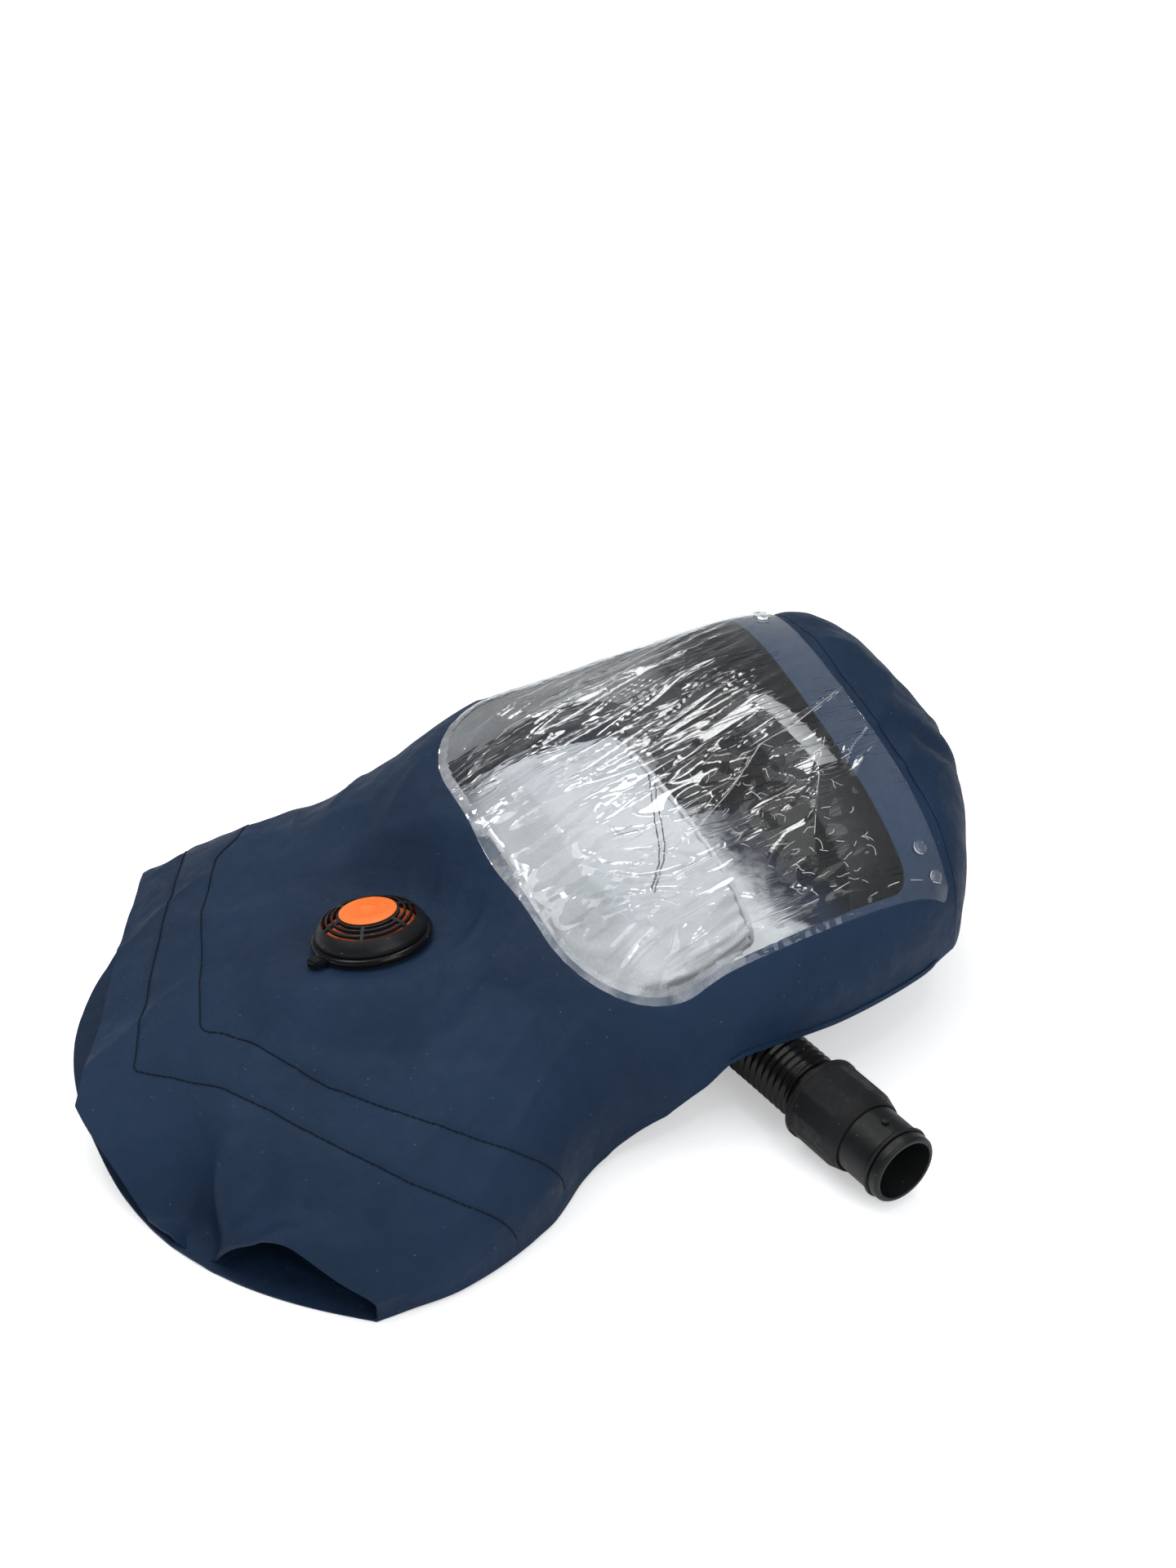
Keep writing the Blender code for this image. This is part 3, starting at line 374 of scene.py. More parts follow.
def lathe_mesh(profile, steps=128, closed=True):
    """A turned solid about Z from a profile of (radius, height)."""
    turns = [math.tau * s / steps for s in range(steps)]
    points = [(r * math.cos(a), r * math.sin(a), z) for a in turns for r, z in profile]
    return mesh_of(points, ring_faces(steps, len(profile), True, closed))


def joined(meshes):
    """One mesh from several."""
    work = bmesh.new()
    for mesh in meshes:
        work.from_mesh(mesh)
    mesh = bpy.data.meshes.new("joined")
    work.to_mesh(mesh)
    work.free()
    return mesh


class Graph:
    """Adds nodes to a tree and links them."""

    def __init__(self, tree):
        self.tree = tree

    def put(self, socket, value):
        if isinstance(value, bpy.types.NodeSocket):
            self.tree.links.new(value, socket)
        else:
            socket.default_value = value

    def node(self, kind, inputs=None, **settings):
        made = self.tree.nodes.new(kind)
        for key, value in settings.items():
            setattr(made, key, value)
        for key, value in (inputs or {}).items():
            self.put(made.inputs[key], value)
        return made

    def first(self, kind, inputs=None, **settings):
        return self.node(kind, inputs, **settings).outputs[0]

    def math(self, operation, *values):
        return self.first("ShaderNodeMath", dict(enumerate(values)), operation=operation)

    def ramp(self, value, span=(0.0, 1.0), result=(0.0, 1.0), smooth=False):
        """A value carried from one span to another."""
        inputs = {"Value": value, "From Min": span[0], "From Max": span[1], "To Min": result[0], "To Max": result[1]}
        kind = "SMOOTHSTEP" if smooth else "LINEAR"
        return self.first("ShaderNodeMapRange", inputs, interpolation_type=kind)

    def noise(self, vector, scale, detail):
        inputs = {"Vector": vector, "Scale": scale, "Detail": detail}
        return self.node("ShaderNodeTexNoise", inputs).outputs["Fac"]


def shader_group(name, sizes, outputs):
    """A node group with a vector and some sizes as inputs, and numbers as outputs."""
    tree = bpy.data.node_groups.new(name, "ShaderNodeTree")
    tree.interface.new_socket("Vector", in_out="INPUT", socket_type="NodeSocketVector")
    for label, value in sizes.items():
        tree.interface.new_socket(label, in_out="INPUT", socket_type="NodeSocketFloat").default_value = value
    for label in outputs:
        tree.interface.new_socket(label, in_out="OUTPUT", socket_type="NodeSocketFloat")
    graph = Graph(tree)
    return graph, graph.node("NodeGroupInput").outputs, graph.node("NodeGroupOutput").inputs


def weave_group():
    """Over and under threads of a plain weave, as a height."""
    graph, given, result = shader_group("woven_threads", {"Threads": 1200.0}, ["Height"])
    parts = graph.node("ShaderNodeSeparateXYZ", {0: given["Vector"]}).outputs
    turn = graph.math("MULTIPLY", given["Threads"], math.tau)
    warp, weft = (graph.math("SINE", graph.math("MULTIPLY", graph.math("ADD", parts[k], parts[2]), turn))
                  for k in (0, 1))
    graph.put(result["Height"], graph.math("MULTIPLY_ADD", graph.math("MULTIPLY", warp, weft), 0.5, 0.5))
    return graph.tree


def patch_group():
    """Broad and small cloudy patches from 0 to 1."""
    graph, given, result = shader_group("cloudy_patches", {"Scale": 12.0}, ["Tone", "Fine"])
    for label, factor in (("Tone", 1.0), ("Fine", 9.0)):
        noise = graph.noise(given["Vector"], graph.math("MULTIPLY", given["Scale"], factor), 4.0)
        graph.put(result[label], graph.ramp(noise, (0.3, 0.7), smooth=True))
    return graph.tree


def speck_group():
    """Sparse small specks, such as lint, as a mask."""
    graph, given, result = shader_group("sparse_specks", {"Scale": 260.0, "Share": 0.10}, ["Mask"])
    cells = graph.node("ShaderNodeTexVoronoi", {"Vector": given["Vector"], "Scale": given["Scale"]}).outputs
    pick = graph.first("ShaderNodeSeparateColor", {0: cells["Color"]})
    size = graph.ramp(cells["Distance"], (0.10, 0.24), (1.0, 0.0))
    graph.put(result["Mask"], graph.math("MULTIPLY", graph.math("LESS_THAN", pick, given["Share"]), size))
    return graph.tree


WEAVE, PATCHES, SPECKS = weave_group(), patch_group(), speck_group()
LINT_SCALE, DUST = 420.0, (0.30, 0.30, 0.30)
# Where the white lining lies inside the cloth, along the hood, and the cells beside a seam that it leaves out. Near its
# end towards the crown, later on the far side, the lining is painted dark as painted shade of the deep head space, and
# past its end the inside is left navy.
LINING_FROM, LINING_TO, FAR_LINING, SEAM_CELLS = -0.060, 0.150, 0.024, 2


class Look:
    """A procedural material: one Principled shader with its object coordinates at hand."""

    def __init__(self, name, color, roughness, **plain):
        self.material = bpy.data.materials.new(name)
        self.material.use_nodes = True
        self.graph = Graph(self.material.node_tree)
        self.material.node_tree.nodes.clear()
        self.shader = self.graph.node("ShaderNodeBsdfPrincipled", {
            "Base Color": (*color, 1.0), "Roughness": roughness, **plain})
        self.out = self.graph.node("ShaderNodeOutputMaterial", {"Surface": self.shader.outputs[0]})
        self.place = self.graph.node("ShaderNodeTexCoord").outputs["Object"]

    def group(self, tree, **inputs):
        return self.graph.node("ShaderNodeGroup", {"Vector": self.place, **inputs}, node_tree=tree).outputs

    def mix(self, factor, low, high):
        made = self.graph.node("ShaderNodeMix", data_type="RGBA")
        sockets = {socket.identifier: socket for socket in made.inputs}
        self.graph.put(sockets["Factor_Float"], factor)
        for key, tone in (("A_Color", low), ("B_Color", high)):
            self.graph.put(sockets[key], (*tone, 1.0) if isinstance(tone, tuple) else tone)
        return next(socket for socket in made.outputs if socket.identifier == "Result_Color")

    def feed(self, key, value):
        self.graph.put(self.shader.inputs[key], value)

    def roughen(self, mask, low, high):
        self.feed("Roughness", self.graph.ramp(mask, result=(low, high)))

    def bump(self, *layers):
        """Bumps of (height, depth in metres), one over the other."""
        inputs = {"Strength": 1.0}
        for height, depth in layers:
            inputs.update(Height=height, Distance=depth)
            inputs["Normal"] = self.graph.first("ShaderNodeBump", inputs)
        self.feed("Normal", inputs["Normal"])


def painted_shade_towards_crown(look, waver):
    """Painted shade: a mask that grows from the middle of the head space to the crown, later on the far side, where the
    inside lies in shade.
    """
    graph = look.graph
    parts = graph.node("ShaderNodeSeparateXYZ", {0: look.place}).outputs
    late = graph.ramp(parts[1], (0.026, 0.134), (0.0, FAR_LINING))
    spot = graph.math("MULTIPLY_ADD", waver, 0.016, graph.math("SUBTRACT", parts[0], late))
    return graph.ramp(spot, (LINING_TO - 0.016, LINING_TO + 0.020), smooth=True)


def cloth_look(name, dark, light, lint, roughness, sheen, threads, lint_share=0.06, painted_shade_tone=None):
    """Woven cloth with cloudy tones, lint and fine wrinkles; the last argument is a dark tone painted towards the crown
    as shade.
    """
    look = Look(name, dark, roughness, **{
        "Specular IOR Level": 0.17, "Sheen Weight": sheen, "Sheen Roughness": 0.45, "Sheen Tint": (*lint, 1.0)})
    patches = look.group(PATCHES, Scale=9.0)
    specks = look.group(SPECKS, Scale=LINT_SCALE, Share=lint_share)["Mask"]
    weave = look.group(WEAVE, Threads=threads)["Height"]
    tone = look.mix(patches["Tone"], dark, light)
    tone = look.mix(look.graph.math("MULTIPLY", specks, 0.45), tone, lint)
    # Painted shade: the cloth grows dark towards the crown, where the inside of the hood lies in shade
    if painted_shade_tone:
        tone = look.mix(painted_shade_towards_crown(look, patches["Fine"]), tone, painted_shade_tone)
    look.feed("Base Color", tone)
    look.roughen(patches["Fine"], roughness - 0.07, roughness + 0.07)
    look.bump((patches["Fine"], 0.0005), (weave, 0.00012))
    return look.material


def hard_look(name, dark, light, roughness, grain, depth, specks=0.03, shine=0.36):
    """Moulded plastic or rubber with fine grain, dust and slight changes of tone."""
    look = Look(name, dark, roughness, **{"Specular IOR Level": shine})
    patches = look.group(PATCHES, Scale=26.0)
    dust = look.group(SPECKS, Scale=LINT_SCALE, Share=specks)["Mask"]
    tone = look.mix(patches["Tone"], dark, light)
    look.feed("Base Color", look.mix(look.graph.math("MULTIPLY", dust, 0.3), tone, DUST))
    look.roughen(patches["Fine"], roughness * 0.8, roughness * 1.2)
    look.bump((look.graph.noise(look.place, grain, 3.0), depth))
    return look.material


def crease_group():
    """Long thin creases of a stretched film, as a height that comes and goes in patches."""
    graph, given, result = shader_group("film_creases", {}, ["Height"])
    heights = []
    for turn, size, depth in ((-0.25, (11.0, 120.0, 40.0), 1.0), (-0.20, (16.0, 190.0, 60.0), 0.5)):
        placed = graph.first("ShaderNodeMapping", {
            "Vector": given["Vector"], "Rotation": (0.0, 0.0, turn), "Scale": size})
        fold = graph.math("ABSOLUTE", graph.math("SUBTRACT", graph.noise(placed, 1.0, 0.0), 0.5))
        heights.append(graph.ramp(fold, (0.0, 0.035), (depth, 0.0), True))
    mask = graph.ramp(graph.noise(given["Vector"], 22.0, 1.0), (0.47, 0.60))
    graph.put(result["Height"], graph.math("MULTIPLY", graph.math("ADD", *heights), mask))
    return graph.tree


CREASES = crease_group()


def film_look(name):
    """Clear film with creases; shadows pass through it."""
    look = Look(name, (0.95, 0.965, 0.97), 0.015, **{"IOR": 1.40, "Transmission Weight": 1.0})
    look.roughen(look.group(PATCHES, Scale=16.0)["Fine"], 0.005, 0.03)
    look.bump((look.group(CREASES)["Height"], 0.00012))
    ray = look.graph.node("ShaderNodeLightPath").outputs["Is Shadow Ray"]
    clear = look.graph.first("ShaderNodeBsdfTransparent", {"Color": (0.95, 0.96, 0.97, 1.0)})
    both = look.graph.first("ShaderNodeMixShader", {0: ray, 1: look.shader.outputs[0], 2: clear})
    look.graph.put(look.out.inputs["Surface"], both)
    return look.material


def veil_look(name, tone, clear, full):
    """Thin pale film that hides what is behind it more in some patches than in others."""
    look = Look(name, tone, 0.2)
    patches = look.group(PATCHES, Scale=60.0)
    look.roughen(patches["Fine"], 0.12, 0.28)
    look.feed("Alpha", look.graph.ramp(patches["Tone"], result=(clear, full)))
    look.bump((patches["Fine"], 0.0006))
    return look.material


NAVY = cloth_look("navy coated cloth", (0.0074, 0.0212, 0.050), (0.0103, 0.0286, 0.066), (0.14, 0.21, 0.33),
                  0.58, 0.03, 900.0, 0.02)
LINING = cloth_look("pale lining cloth", (0.30, 0.315, 0.33), (0.45, 0.46, 0.475), (0.60, 0.60, 0.60),
                    0.80, 0.05, 700.0)
WEBBING = cloth_look("charcoal webbing", (0.010, 0.011, 0.014), (0.020, 0.021, 0.025), (0.10, 0.10, 0.11),
                     0.72, 0.20, 420.0)
THREAD = cloth_look("dark thread", (0.004, 0.006, 0.012), (0.008, 0.011, 0.018), (0.03, 0.03, 0.04),
                    0.70, 0.10, 1500.0, 0.0)
# The label is white; its colour is painted grey as shade, for the shade it lies in behind the film
LABEL = cloth_look("bare white label painted in shade", (0.48, 0.49, 0.50), (0.56, 0.56, 0.56), (0.60, 0.60, 0.60),
                   0.60, 0.0, 1500.0, 0.01)
# Lining cloth inside the hood, painted lighter than the collar's pale cloth to make up for the shade inside, and
# painted dark towards the crown as shade
LINING_PAINTED_LIT = cloth_look("lining cloth with painted light and shade", (0.54, 0.56, 0.58), (0.68, 0.69, 0.70), (0.70, 0.70, 0.70),
                    0.80, 0.05, 700.0, painted_shade_tone=(0.012, 0.020, 0.042))
FILM_LOOK = film_look("clear visor film")
MILKY = veil_look("milky film edge", (0.66, 0.69, 0.73), 0.10, 0.42)
# Painted highlights: pale, partly clear ridges that stand for glints of light along the film's creases
GLINT = veil_look("painted crease highlight", (0.93, 0.95, 0.97), 0.30, 0.80)
SATIN = hard_look("satin black plastic", (0.006, 0.0066, 0.0072), (0.011, 0.0115, 0.0125), 0.38, 2600.0, 0.00008,
                  shine=0.28)
GRAINY = hard_look("grained black plastic", (0.007, 0.0075, 0.008), (0.012, 0.0125, 0.0135), 0.48, 1500.0, 0.0003,
                   shine=0.20)
GLOSS = hard_look("gloss black plastic", (0.004, 0.004, 0.0045), (0.007, 0.007, 0.0075), 0.16, 900.0, 0.00004,
                  shine=0.26)
RUBBER = hard_look("black rubber", (0.006, 0.006, 0.0065), (0.010, 0.010, 0.0105), 0.55, 1800.0, 0.0001)
ORANGE = hard_look("orange plastic", (0.82, 0.145, 0.012), (0.88, 0.18, 0.017), 0.42, 2200.0, 0.00008, 0.01)
ORANGE_RUBBER = hard_look("orange rubber", (0.70, 0.09, 0.010), (0.78, 0.12, 0.014), 0.50, 2200.0, 0.0001, 0.01)

# Folds of the cloth and creases of the film: height, width and the x, y points they run through
CLOTH_FOLDS = metres((
    (12, 12, ((-250.4, -79), (-259.2, -97.3), (-265.6, -126))), (-9, 12, ((-270, -70), (-279, -94), (-288, -126))),
    (-3, 10, ((-60, -120), (-110, -50))), (-3, 10, ((-75, 150), (-120, 70))), (3, 14, ((-170, -100), (-215, -40))),
    (3, 14, ((-180, 60), (-230, 120))), (-5, 10, ((225, -20), (262, -45))), (-4, 8, ((20, -145), (60, -125))),
))
FILM_FOLDS = metres((
    (4.2, 3, ((212, 20), (164, -2), (130, -10), (99, -31), (70, -46), (54, -53))),
    (2.2, 2.8, ((8, -29), (36, -37), (98, -25))), (2.4, 2.8, ((-8, -39), (9, -61), (33, -74), (72, -70))),
    (1.6, 2.4, ((12, -39), (51, -67))), (1.8, 2.4, ((41, -39), (66, -41), (91, -28))),
    (2, 2.8, ((-17, -60), (11, -75), (39, -87))), (2.2, 3, ((-16, -74), (25, -89))),
    (2.6, 3.2, ((62, -118), (84, -119), (118, -117), (150, -112))), (2, 2.4, ((130, -10), (153, -20))),
    (2.2, 2.6, ((130, -10), (117, -9), (97, -1))), (1.6, 3, ((-12, 37), (88, 53))), (1.8, 3, ((-11, 16), (95, 14))),
    (1.6, 3, ((0, 90), (150, 105))), (2, 2.8, ((170, -20), (140, -60), (120, -90))),
))
BROW_FOLDS = metres((
    (2.6, 3, ((205.5, 16), (196.8, 10.6), (181.5, 3.2), (162.5, -2.8))),
    (1.4, 2.4, ((201, -20.5), (191.2, -27.3), (180.1, -34.5), (170, -44.6))),
    (2, 3.4, ((201, -34.5), (187.4, -42.2), (172.1, -52.9))),
    (1.6, 2.6, ((138.7, -125), (160.3, -122.5), (183.3, -124.5), (198.5, -124.5))),
))
# The two hem seams: share across the front, and how far along it each is sewn there
HEM_LINES = metres((
    ((-995, -176), (-759, -209), (-594, -225), (-454, -232), (-273, -241), (-168, -252), (-88, -267), (-13, -283),
     (123, -285), (238, -284), (373, -280), (764, -275), (970, -272)),
    ((-980, -110), (-840, -128), (-604, -165), (-439, -189), (-298, -207), (-198, -215), (-103, -223), (-48, -232),
     (-23, -241), (128, -243), (323, -245), (549, -239), (629, -217), (749, -205), (950, -200)),
))
CLOTH_STEP, CLOTH_COLUMNS = 0.0028, 181
FILM_SPAN, FILM_COLUMNS = (-0.88, 0.80), 211
FILM_ROWS = np.linspace(VISOR[0] - 0.004, VISOR[1] + 0.004, 202)
LAP_EDGE, LAP_TO = 0.0060, 0.050


def folds(x, y, table, power=2.0):
    """Height of ridges that run through points and fade at both ends."""
    height = np.zeros_like(x)
    for lift, width, points in table:
        lengths = [math.dist(p, q) for p, q in zip(points, points[1:])]
        best, share, done = np.full_like(x, 1.0), np.zeros_like(x), 0.0
        for (x0, y0), (x1, y1), length in zip(points, points[1:], lengths):
            t = np.clip(((x - x0) * (x1 - x0) + (y - y0) * (y1 - y0)) / length ** 2, 0.0, 1.0)
            away = np.hypot(x - x0 - t * (x1 - x0), y - y0 - t * (y1 - y0))
            share = np.where(away < best, (done + t * length) / sum(lengths), share)
            best = np.minimum(best, away)
            done += length
        height += lift * np.exp(-((best / width) ** power)) * np.sin(math.pi * (0.12 + 0.76 * share))
    return height


def hem_line(line, across):
    return np.interp(across, *np.array(line).T)


def cloth_relief(points, along, across, top):
    """How far the cloth stands off the smooth form."""
    x, y = points[..., 0] - CENTRE_X, points[..., 1]
    # Slack waves, slant waves, long creases and fine puckers
    height = 0.0024 * lattice_noise(x / 0.085, y / 0.075, 3)
    height += 0.0011 * lattice_noise((x + y) / 0.045, (x - y) / 0.05, 4)
    height += 0.0016 * ridges((x * 0.8 + y * 0.6) / 0.11, (y * 0.8 - x * 0.6) / 0.04, 5, 4)
    height += 0.0004 * lattice_noise(x / 0.014, y / 0.012, 6)
    if top:
        height += folds(x, y, CLOTH_FOLDS)
        fixed = away_from(VALVE_CENTRE, x, y)
        frame_edge = outline_distance(along, y, VISOR)
        height *= np.where(along < BROW_X, 1.0 - ease(frame_edge, 0.004, 0.020), 1.0)
    else:
        height *= 0.7
        fixed = away_from(INLET, x, y)
    height *= (1.0 - ease(fixed, 0.038, 0.056)) * ease(np.abs(across), 0.93, 0.995)
    height *= ease(along - BROW_X - CROWN_LENGTH, -0.012, -0.001)
    for line in HEM_LINES:
        height -= 0.0008 * np.exp(-(((along - hem_line(line, across)) / 0.003) ** 2)) * top
    return height


def sewn(outer, inner, keep, edge, crown_end):
    """Adds the cut edges at the side seams, and at the crown's end, to the two faces of a cloth."""
    turned_in = np.concatenate([inner[..., :2], edge[..., 2:]], axis=-1)
    outer, inner = (np.concatenate([e[:, :1], g, e[:, -1:]], axis=1) for g, e in ((outer, edge), (inner, turned_in)))
    keep = np.pad(keep, ((0, 0), (1, 1)), mode="edge")
    if crown_end:
        ends = [np.concatenate([e[-1:, :1], e[-1:], e[-1:, -1:]], axis=1) for e in (edge, turned_in)]
        outer, inner = np.concatenate([outer, ends[0]]), np.concatenate([inner, ends[1]])
        keep = np.pad(keep, ((0, 1), (0, 0)), mode="edge")
    return outer, inner, keep


def cloth_shell(name, rows, top, distance, nodes):
    """One panel of cloth, with its hem doubled, its openings cut and its lining painted inside; that lining is painted
    lighter than the collar's cloth against the shade inside the hood, and painted dark towards the crown as shade.
    """
    along, across = np.meshgrid(rows, np.linspace(-1.0, 1.0, CLOTH_COLUMNS), indexing="ij")
    keep = np.ones((along.shape[0] - 1, along.shape[1] - 1), bool)
    if distance:
        along, across, keep = trimmed(along, across, distance, False)
    points = hood_points(along, across, top)
    normal = grid_normals(points, top)
    outer = points + normal * cloth_relief(points, along, across, top)[..., None]
    thick = CLOTH + HEM_EXTRA * ease(along - HEM_X, 0.036, 0.044)
    inner = outer - normal * thick[..., None]
    edge = hood_points(along, across, top, True)
    outer, inner, keep = sewn(outer, inner, keep, edge, rows[-1] > BROW_X)
    outer[..., 2] = np.maximum(outer[..., 2], 0.0)
    inner[..., 2] = np.maximum(inner[..., 2], 0.0008)
    lining_to = LINING_TO + FAR_LINING * ease(across, 0.60, 0.10)
    lined = np.pad((along > LINING_FROM) & (along < lining_to), ((0, 1), (1, 1)))
    lined[:, :SEAM_CELLS] = lined[:, -SEAM_CELLS - 1:] = False
    mesh = shell_mesh(outer, inner, keep, top, lined)
    return piece(name, mesh, [NAVY, LINING_PAINTED_LIT], nodes), outer


def front_opening(along, y):
    return np.minimum(outline_distance(along, y, WINDOW), away_from(VALVE_CENTRE, along, y) - VALVE_HOLE_R)


def back_opening(along, y):
    return away_from(INLET, skewed(along, y), y) - ELBOW_R - SEAM_GAP


BODY_ROWS = np.linspace(HEM_X, BROW_X, round((BROW_X - HEM_X) / CLOTH_STEP))
CROWN_ROWS = BROW_X + CROWN_LENGTH * np.linspace(0.005, 1.0, 34)
FRONT, FRONT_GRID = cloth_shell("front_cloth", BODY_ROWS, True, front_opening, ("front_panel", "front_hem_facing"))
CROWN, _ = cloth_shell("crown_cloth", CROWN_ROWS, True, None, ("crown_panel",))
BACK, _ = cloth_shell("back_cloth", np.concatenate([BODY_ROWS, CROWN_ROWS]), False, back_opening,
                      ("back_panel", "back_hem_facing"))


def visor_piece():
    """The creased film, with a milky rim where it laps over the cloth at the chin."""
    along, across = np.meshgrid(FILM_ROWS, np.linspace(*FILM_SPAN, FILM_COLUMNS), indexing="ij")
    along, across, keep = trimmed(along, across, lambda a, y: outline_distance(a, y, VISOR), True)
    points = hood_points(along, across, True)
    normal = grid_normals(points, True)
    x, y = points[..., 0] - CENTRE_X, points[..., 1]
    inside = outline_distance(along, y, VISOR)
    run, side = 0.97 * x + 0.242 * y, 0.97 * y - 0.242 * x
    # Slack, long creases, finer ones on the far half, crinkles on the near half, and at last puckers at the lap
    height = 0.0020 * lattice_noise(run / 0.10, side / 0.045, 13) + 0.0013 * ridges(run / 0.17, side / 0.020, 11, 4)
    height += 0.0009 * ridges(run / 0.09, side / 0.010, 12, 4) * (1 - ease(y, -0.030, 0.010))
    height += 0.0011 * ridges(x / 0.034, y / 0.020, 14, 4) * ease(y, -0.030, 0.020)
    height += folds(x, y, FILM_FOLDS, 1.4)
    height *= (1 - ease(-inside, 0.004, 0.026)) * (0.2 + 0.8 * ease(along, 0.150, 0.182))
    puckers = ease(-inside, 0.006, 0.014) * ease(along, 0.10, 0.16)
    height += 0.00035 * lattice_noise(x / 0.006, y / 0.006, 15) * puckers
    height += folds(x, y, BROW_FOLDS, 1.4)
    outer = points + normal * (3 * SEAM_GAP + FILM + height)[..., None]
    lap = (inside > -LAP_EDGE) & (along < LAP_TO)
    mesh = shell_mesh(outer, outer - normal * FILM, keep, True, None, lap[:-1, :-1])
    return piece("visor_film", mesh, [FILM_LOOK, MILKY], ("visor",)), outer


VISOR_PIECE, FILM_GRID = visor_piece()


def smooth_path(points, steps):
    """Points along a smooth curve through a few chosen points, in the row frame."""
    chosen = [Vector(p) + Vector((CENTRE_X, 0.0, 0.0)) for p in points]
    path = []
    for i in range(len(chosen) - 1):
        before, after = chosen[max(i - 1, 0)], chosen[min(i + 2, len(chosen) - 1)]
        for k in range(steps):
            t = k / steps
            start, end = (chosen[i + 1] - before) / 2, (after - chosen[i]) / 2
            blend = chosen[i] + (chosen[i + 1] - chosen[i]) * t * t * (3 - 2 * t)
            path.append(blend + start * t * (1 - t) ** 2 - end * t * t * (1 - t))
    path.append(chosen[-1])
    return path


def sweep_mesh(path, sections, closed=False):
    """A solid along a path; sections gives each ring's points as (side, up) with its side and up axes."""
    points = [p + side * a + up * b for p, (loop, side, up) in zip(path, sections) for a, b in loop]
    count, rings = len(sections[0][0]), len(path)
    faces = ring_faces(rings, count, closed)
    if not closed:
        faces += [tuple(range(count - 1, -1, -1)), tuple(range((rings - 1) * count, rings * count))]
    return settle(mesh_of(points, faces))


def headings(path):
    """Direction of a path at each of its points."""
    last = len(path) - 1
    return [(path[min(i + 1, last)] - path[max(i - 1, 0)]).normalized() for i in range(last + 1)]


def strap_mesh(path, width, across, thickness, raise_by=0.0, piping=0.0):
    """A woven strap with round, slightly thicker edges; its width lies along across."""
    side = Vector(across).normalized()
    half, t, edge = width / 2, thickness / 2, thickness / 2 + piping
    loop = [(-half, 0), (-half + t * 0.4, edge * 0.8), (-half + 2 * t, edge), (-half + 4 * t, t)]
    loop += [(0, t * 1.1)] + [(-a, b) for a, b in reversed(loop)]
    loop += [(a, -b) for a, b in loop[-2:0:-1]]
    loop = [(a, b + raise_by) for a, b in loop]
    rings = []
    for run in headings(path):
        up = run.cross(side).normalized()
        turned_over = up.dot(rings[-1][2]) < 0 if rings else up.z < -0.2
        up = -up if turned_over else up
        lateral = up.cross(run).normalized()
        rings.append((loop, lateral if lateral.dot(side) > 0 else -lateral, up))
    return sweep_mesh(path, rings)


def raised(path, height):
    """A path moved by height along its own upward normal in the YZ plane."""
    return [point + Vector((0.0, -run.z, run.y)).normalized() * height for point, run in zip(path, headings(path))]


# Straps: name, width, direction of the width, and points
STRAPS = (
    ("crown_strap", 0.022, (0.0, -1.0, 0.0), metres((
        (189.2, 10, 134), (215, 12, 134), (240, 14, 124), (255, 16, 104), (246, 14, 88), (222, 10, 80),
        (192, 8, 78.5)))),
    ("side_strap", 0.024, (0.55, 0.80, 0.10), metres((
        (0, 126, 108), (45, 117, 130), (88, 98, 133), (104, 66, 118), (108, 40, 100)))),
    ("brow_strap", 0.022, (-0.2, -1.0, 0.0), metres(((147, 104, 118), (128, 100, 136), (100, 96, 138)))),
)
BAND_ARCH = metres(((-96, 78), (-86, 106), (-52, 125), (0, 134), (50, 137), (92, 126), (112, 98)))
BAND_X, BAND_WIDTH, BAND, PAD, STRAP, PIPING = 0.168, 0.040, 0.002, 0.004, 0.0018, 0.0002
PAD_SPAN, LABEL_SPAN, LABEL_SHIFT, LABEL_WIDTH = slice(24, -24), slice(44, 75), 0.011, 0.014
# The collar: x, half width, middle height and half height
COLLAR = np.array((
    (-60, 116, 50, 32), (-30, 113, 67, 34), (0, 110, 90, 30), (40, 108, 95, 30), (74, 98, 100, 28),
)) / 1000


def harness():
    """Straps, forehead band, sweat pad and the bare label."""
    for name, width, across, points in STRAPS:
        mesh = strap_mesh(smooth_path(points, 14), width, across, STRAP, -STRAP / 2, PIPING)
        piece(name + "_webbing", mesh, WEBBING, (name,))
    arch = smooth_path([(BAND_X, y, z) for y, z in BAND_ARCH], 16)
    along = (1.0, 0.0, 0.0)
    band = strap_mesh(arch, BAND_WIDTH, along, BAND, -BAND / 2, PIPING)
    piece("forehead_band_web", band, WEBBING, ("forehead_band",))
    mesh = strap_mesh(raised(arch[PAD_SPAN], -BAND - SEAM_GAP - PAD / 2), BAND_WIDTH - 0.006, along, PAD)
    pad = piece("sweat_pad_foam", mesh, WEBBING, ("sweat_pad",))
    ribbon = [p + Vector((LABEL_SHIFT, 0.0, 0.0)) for p in raised(arch[LABEL_SPAN], 0.0007)]
    piece("label_strip", strap_mesh(ribbon, LABEL_WIDTH, along, 0.0004), LABEL, ("blank_label",))


def full_turn(steps):
    """Angles of a closed turn; the last is the first again."""
    angles = np.linspace(0.0, math.tau, steps + 1)
    angles[-1] = 0.0
    return angles


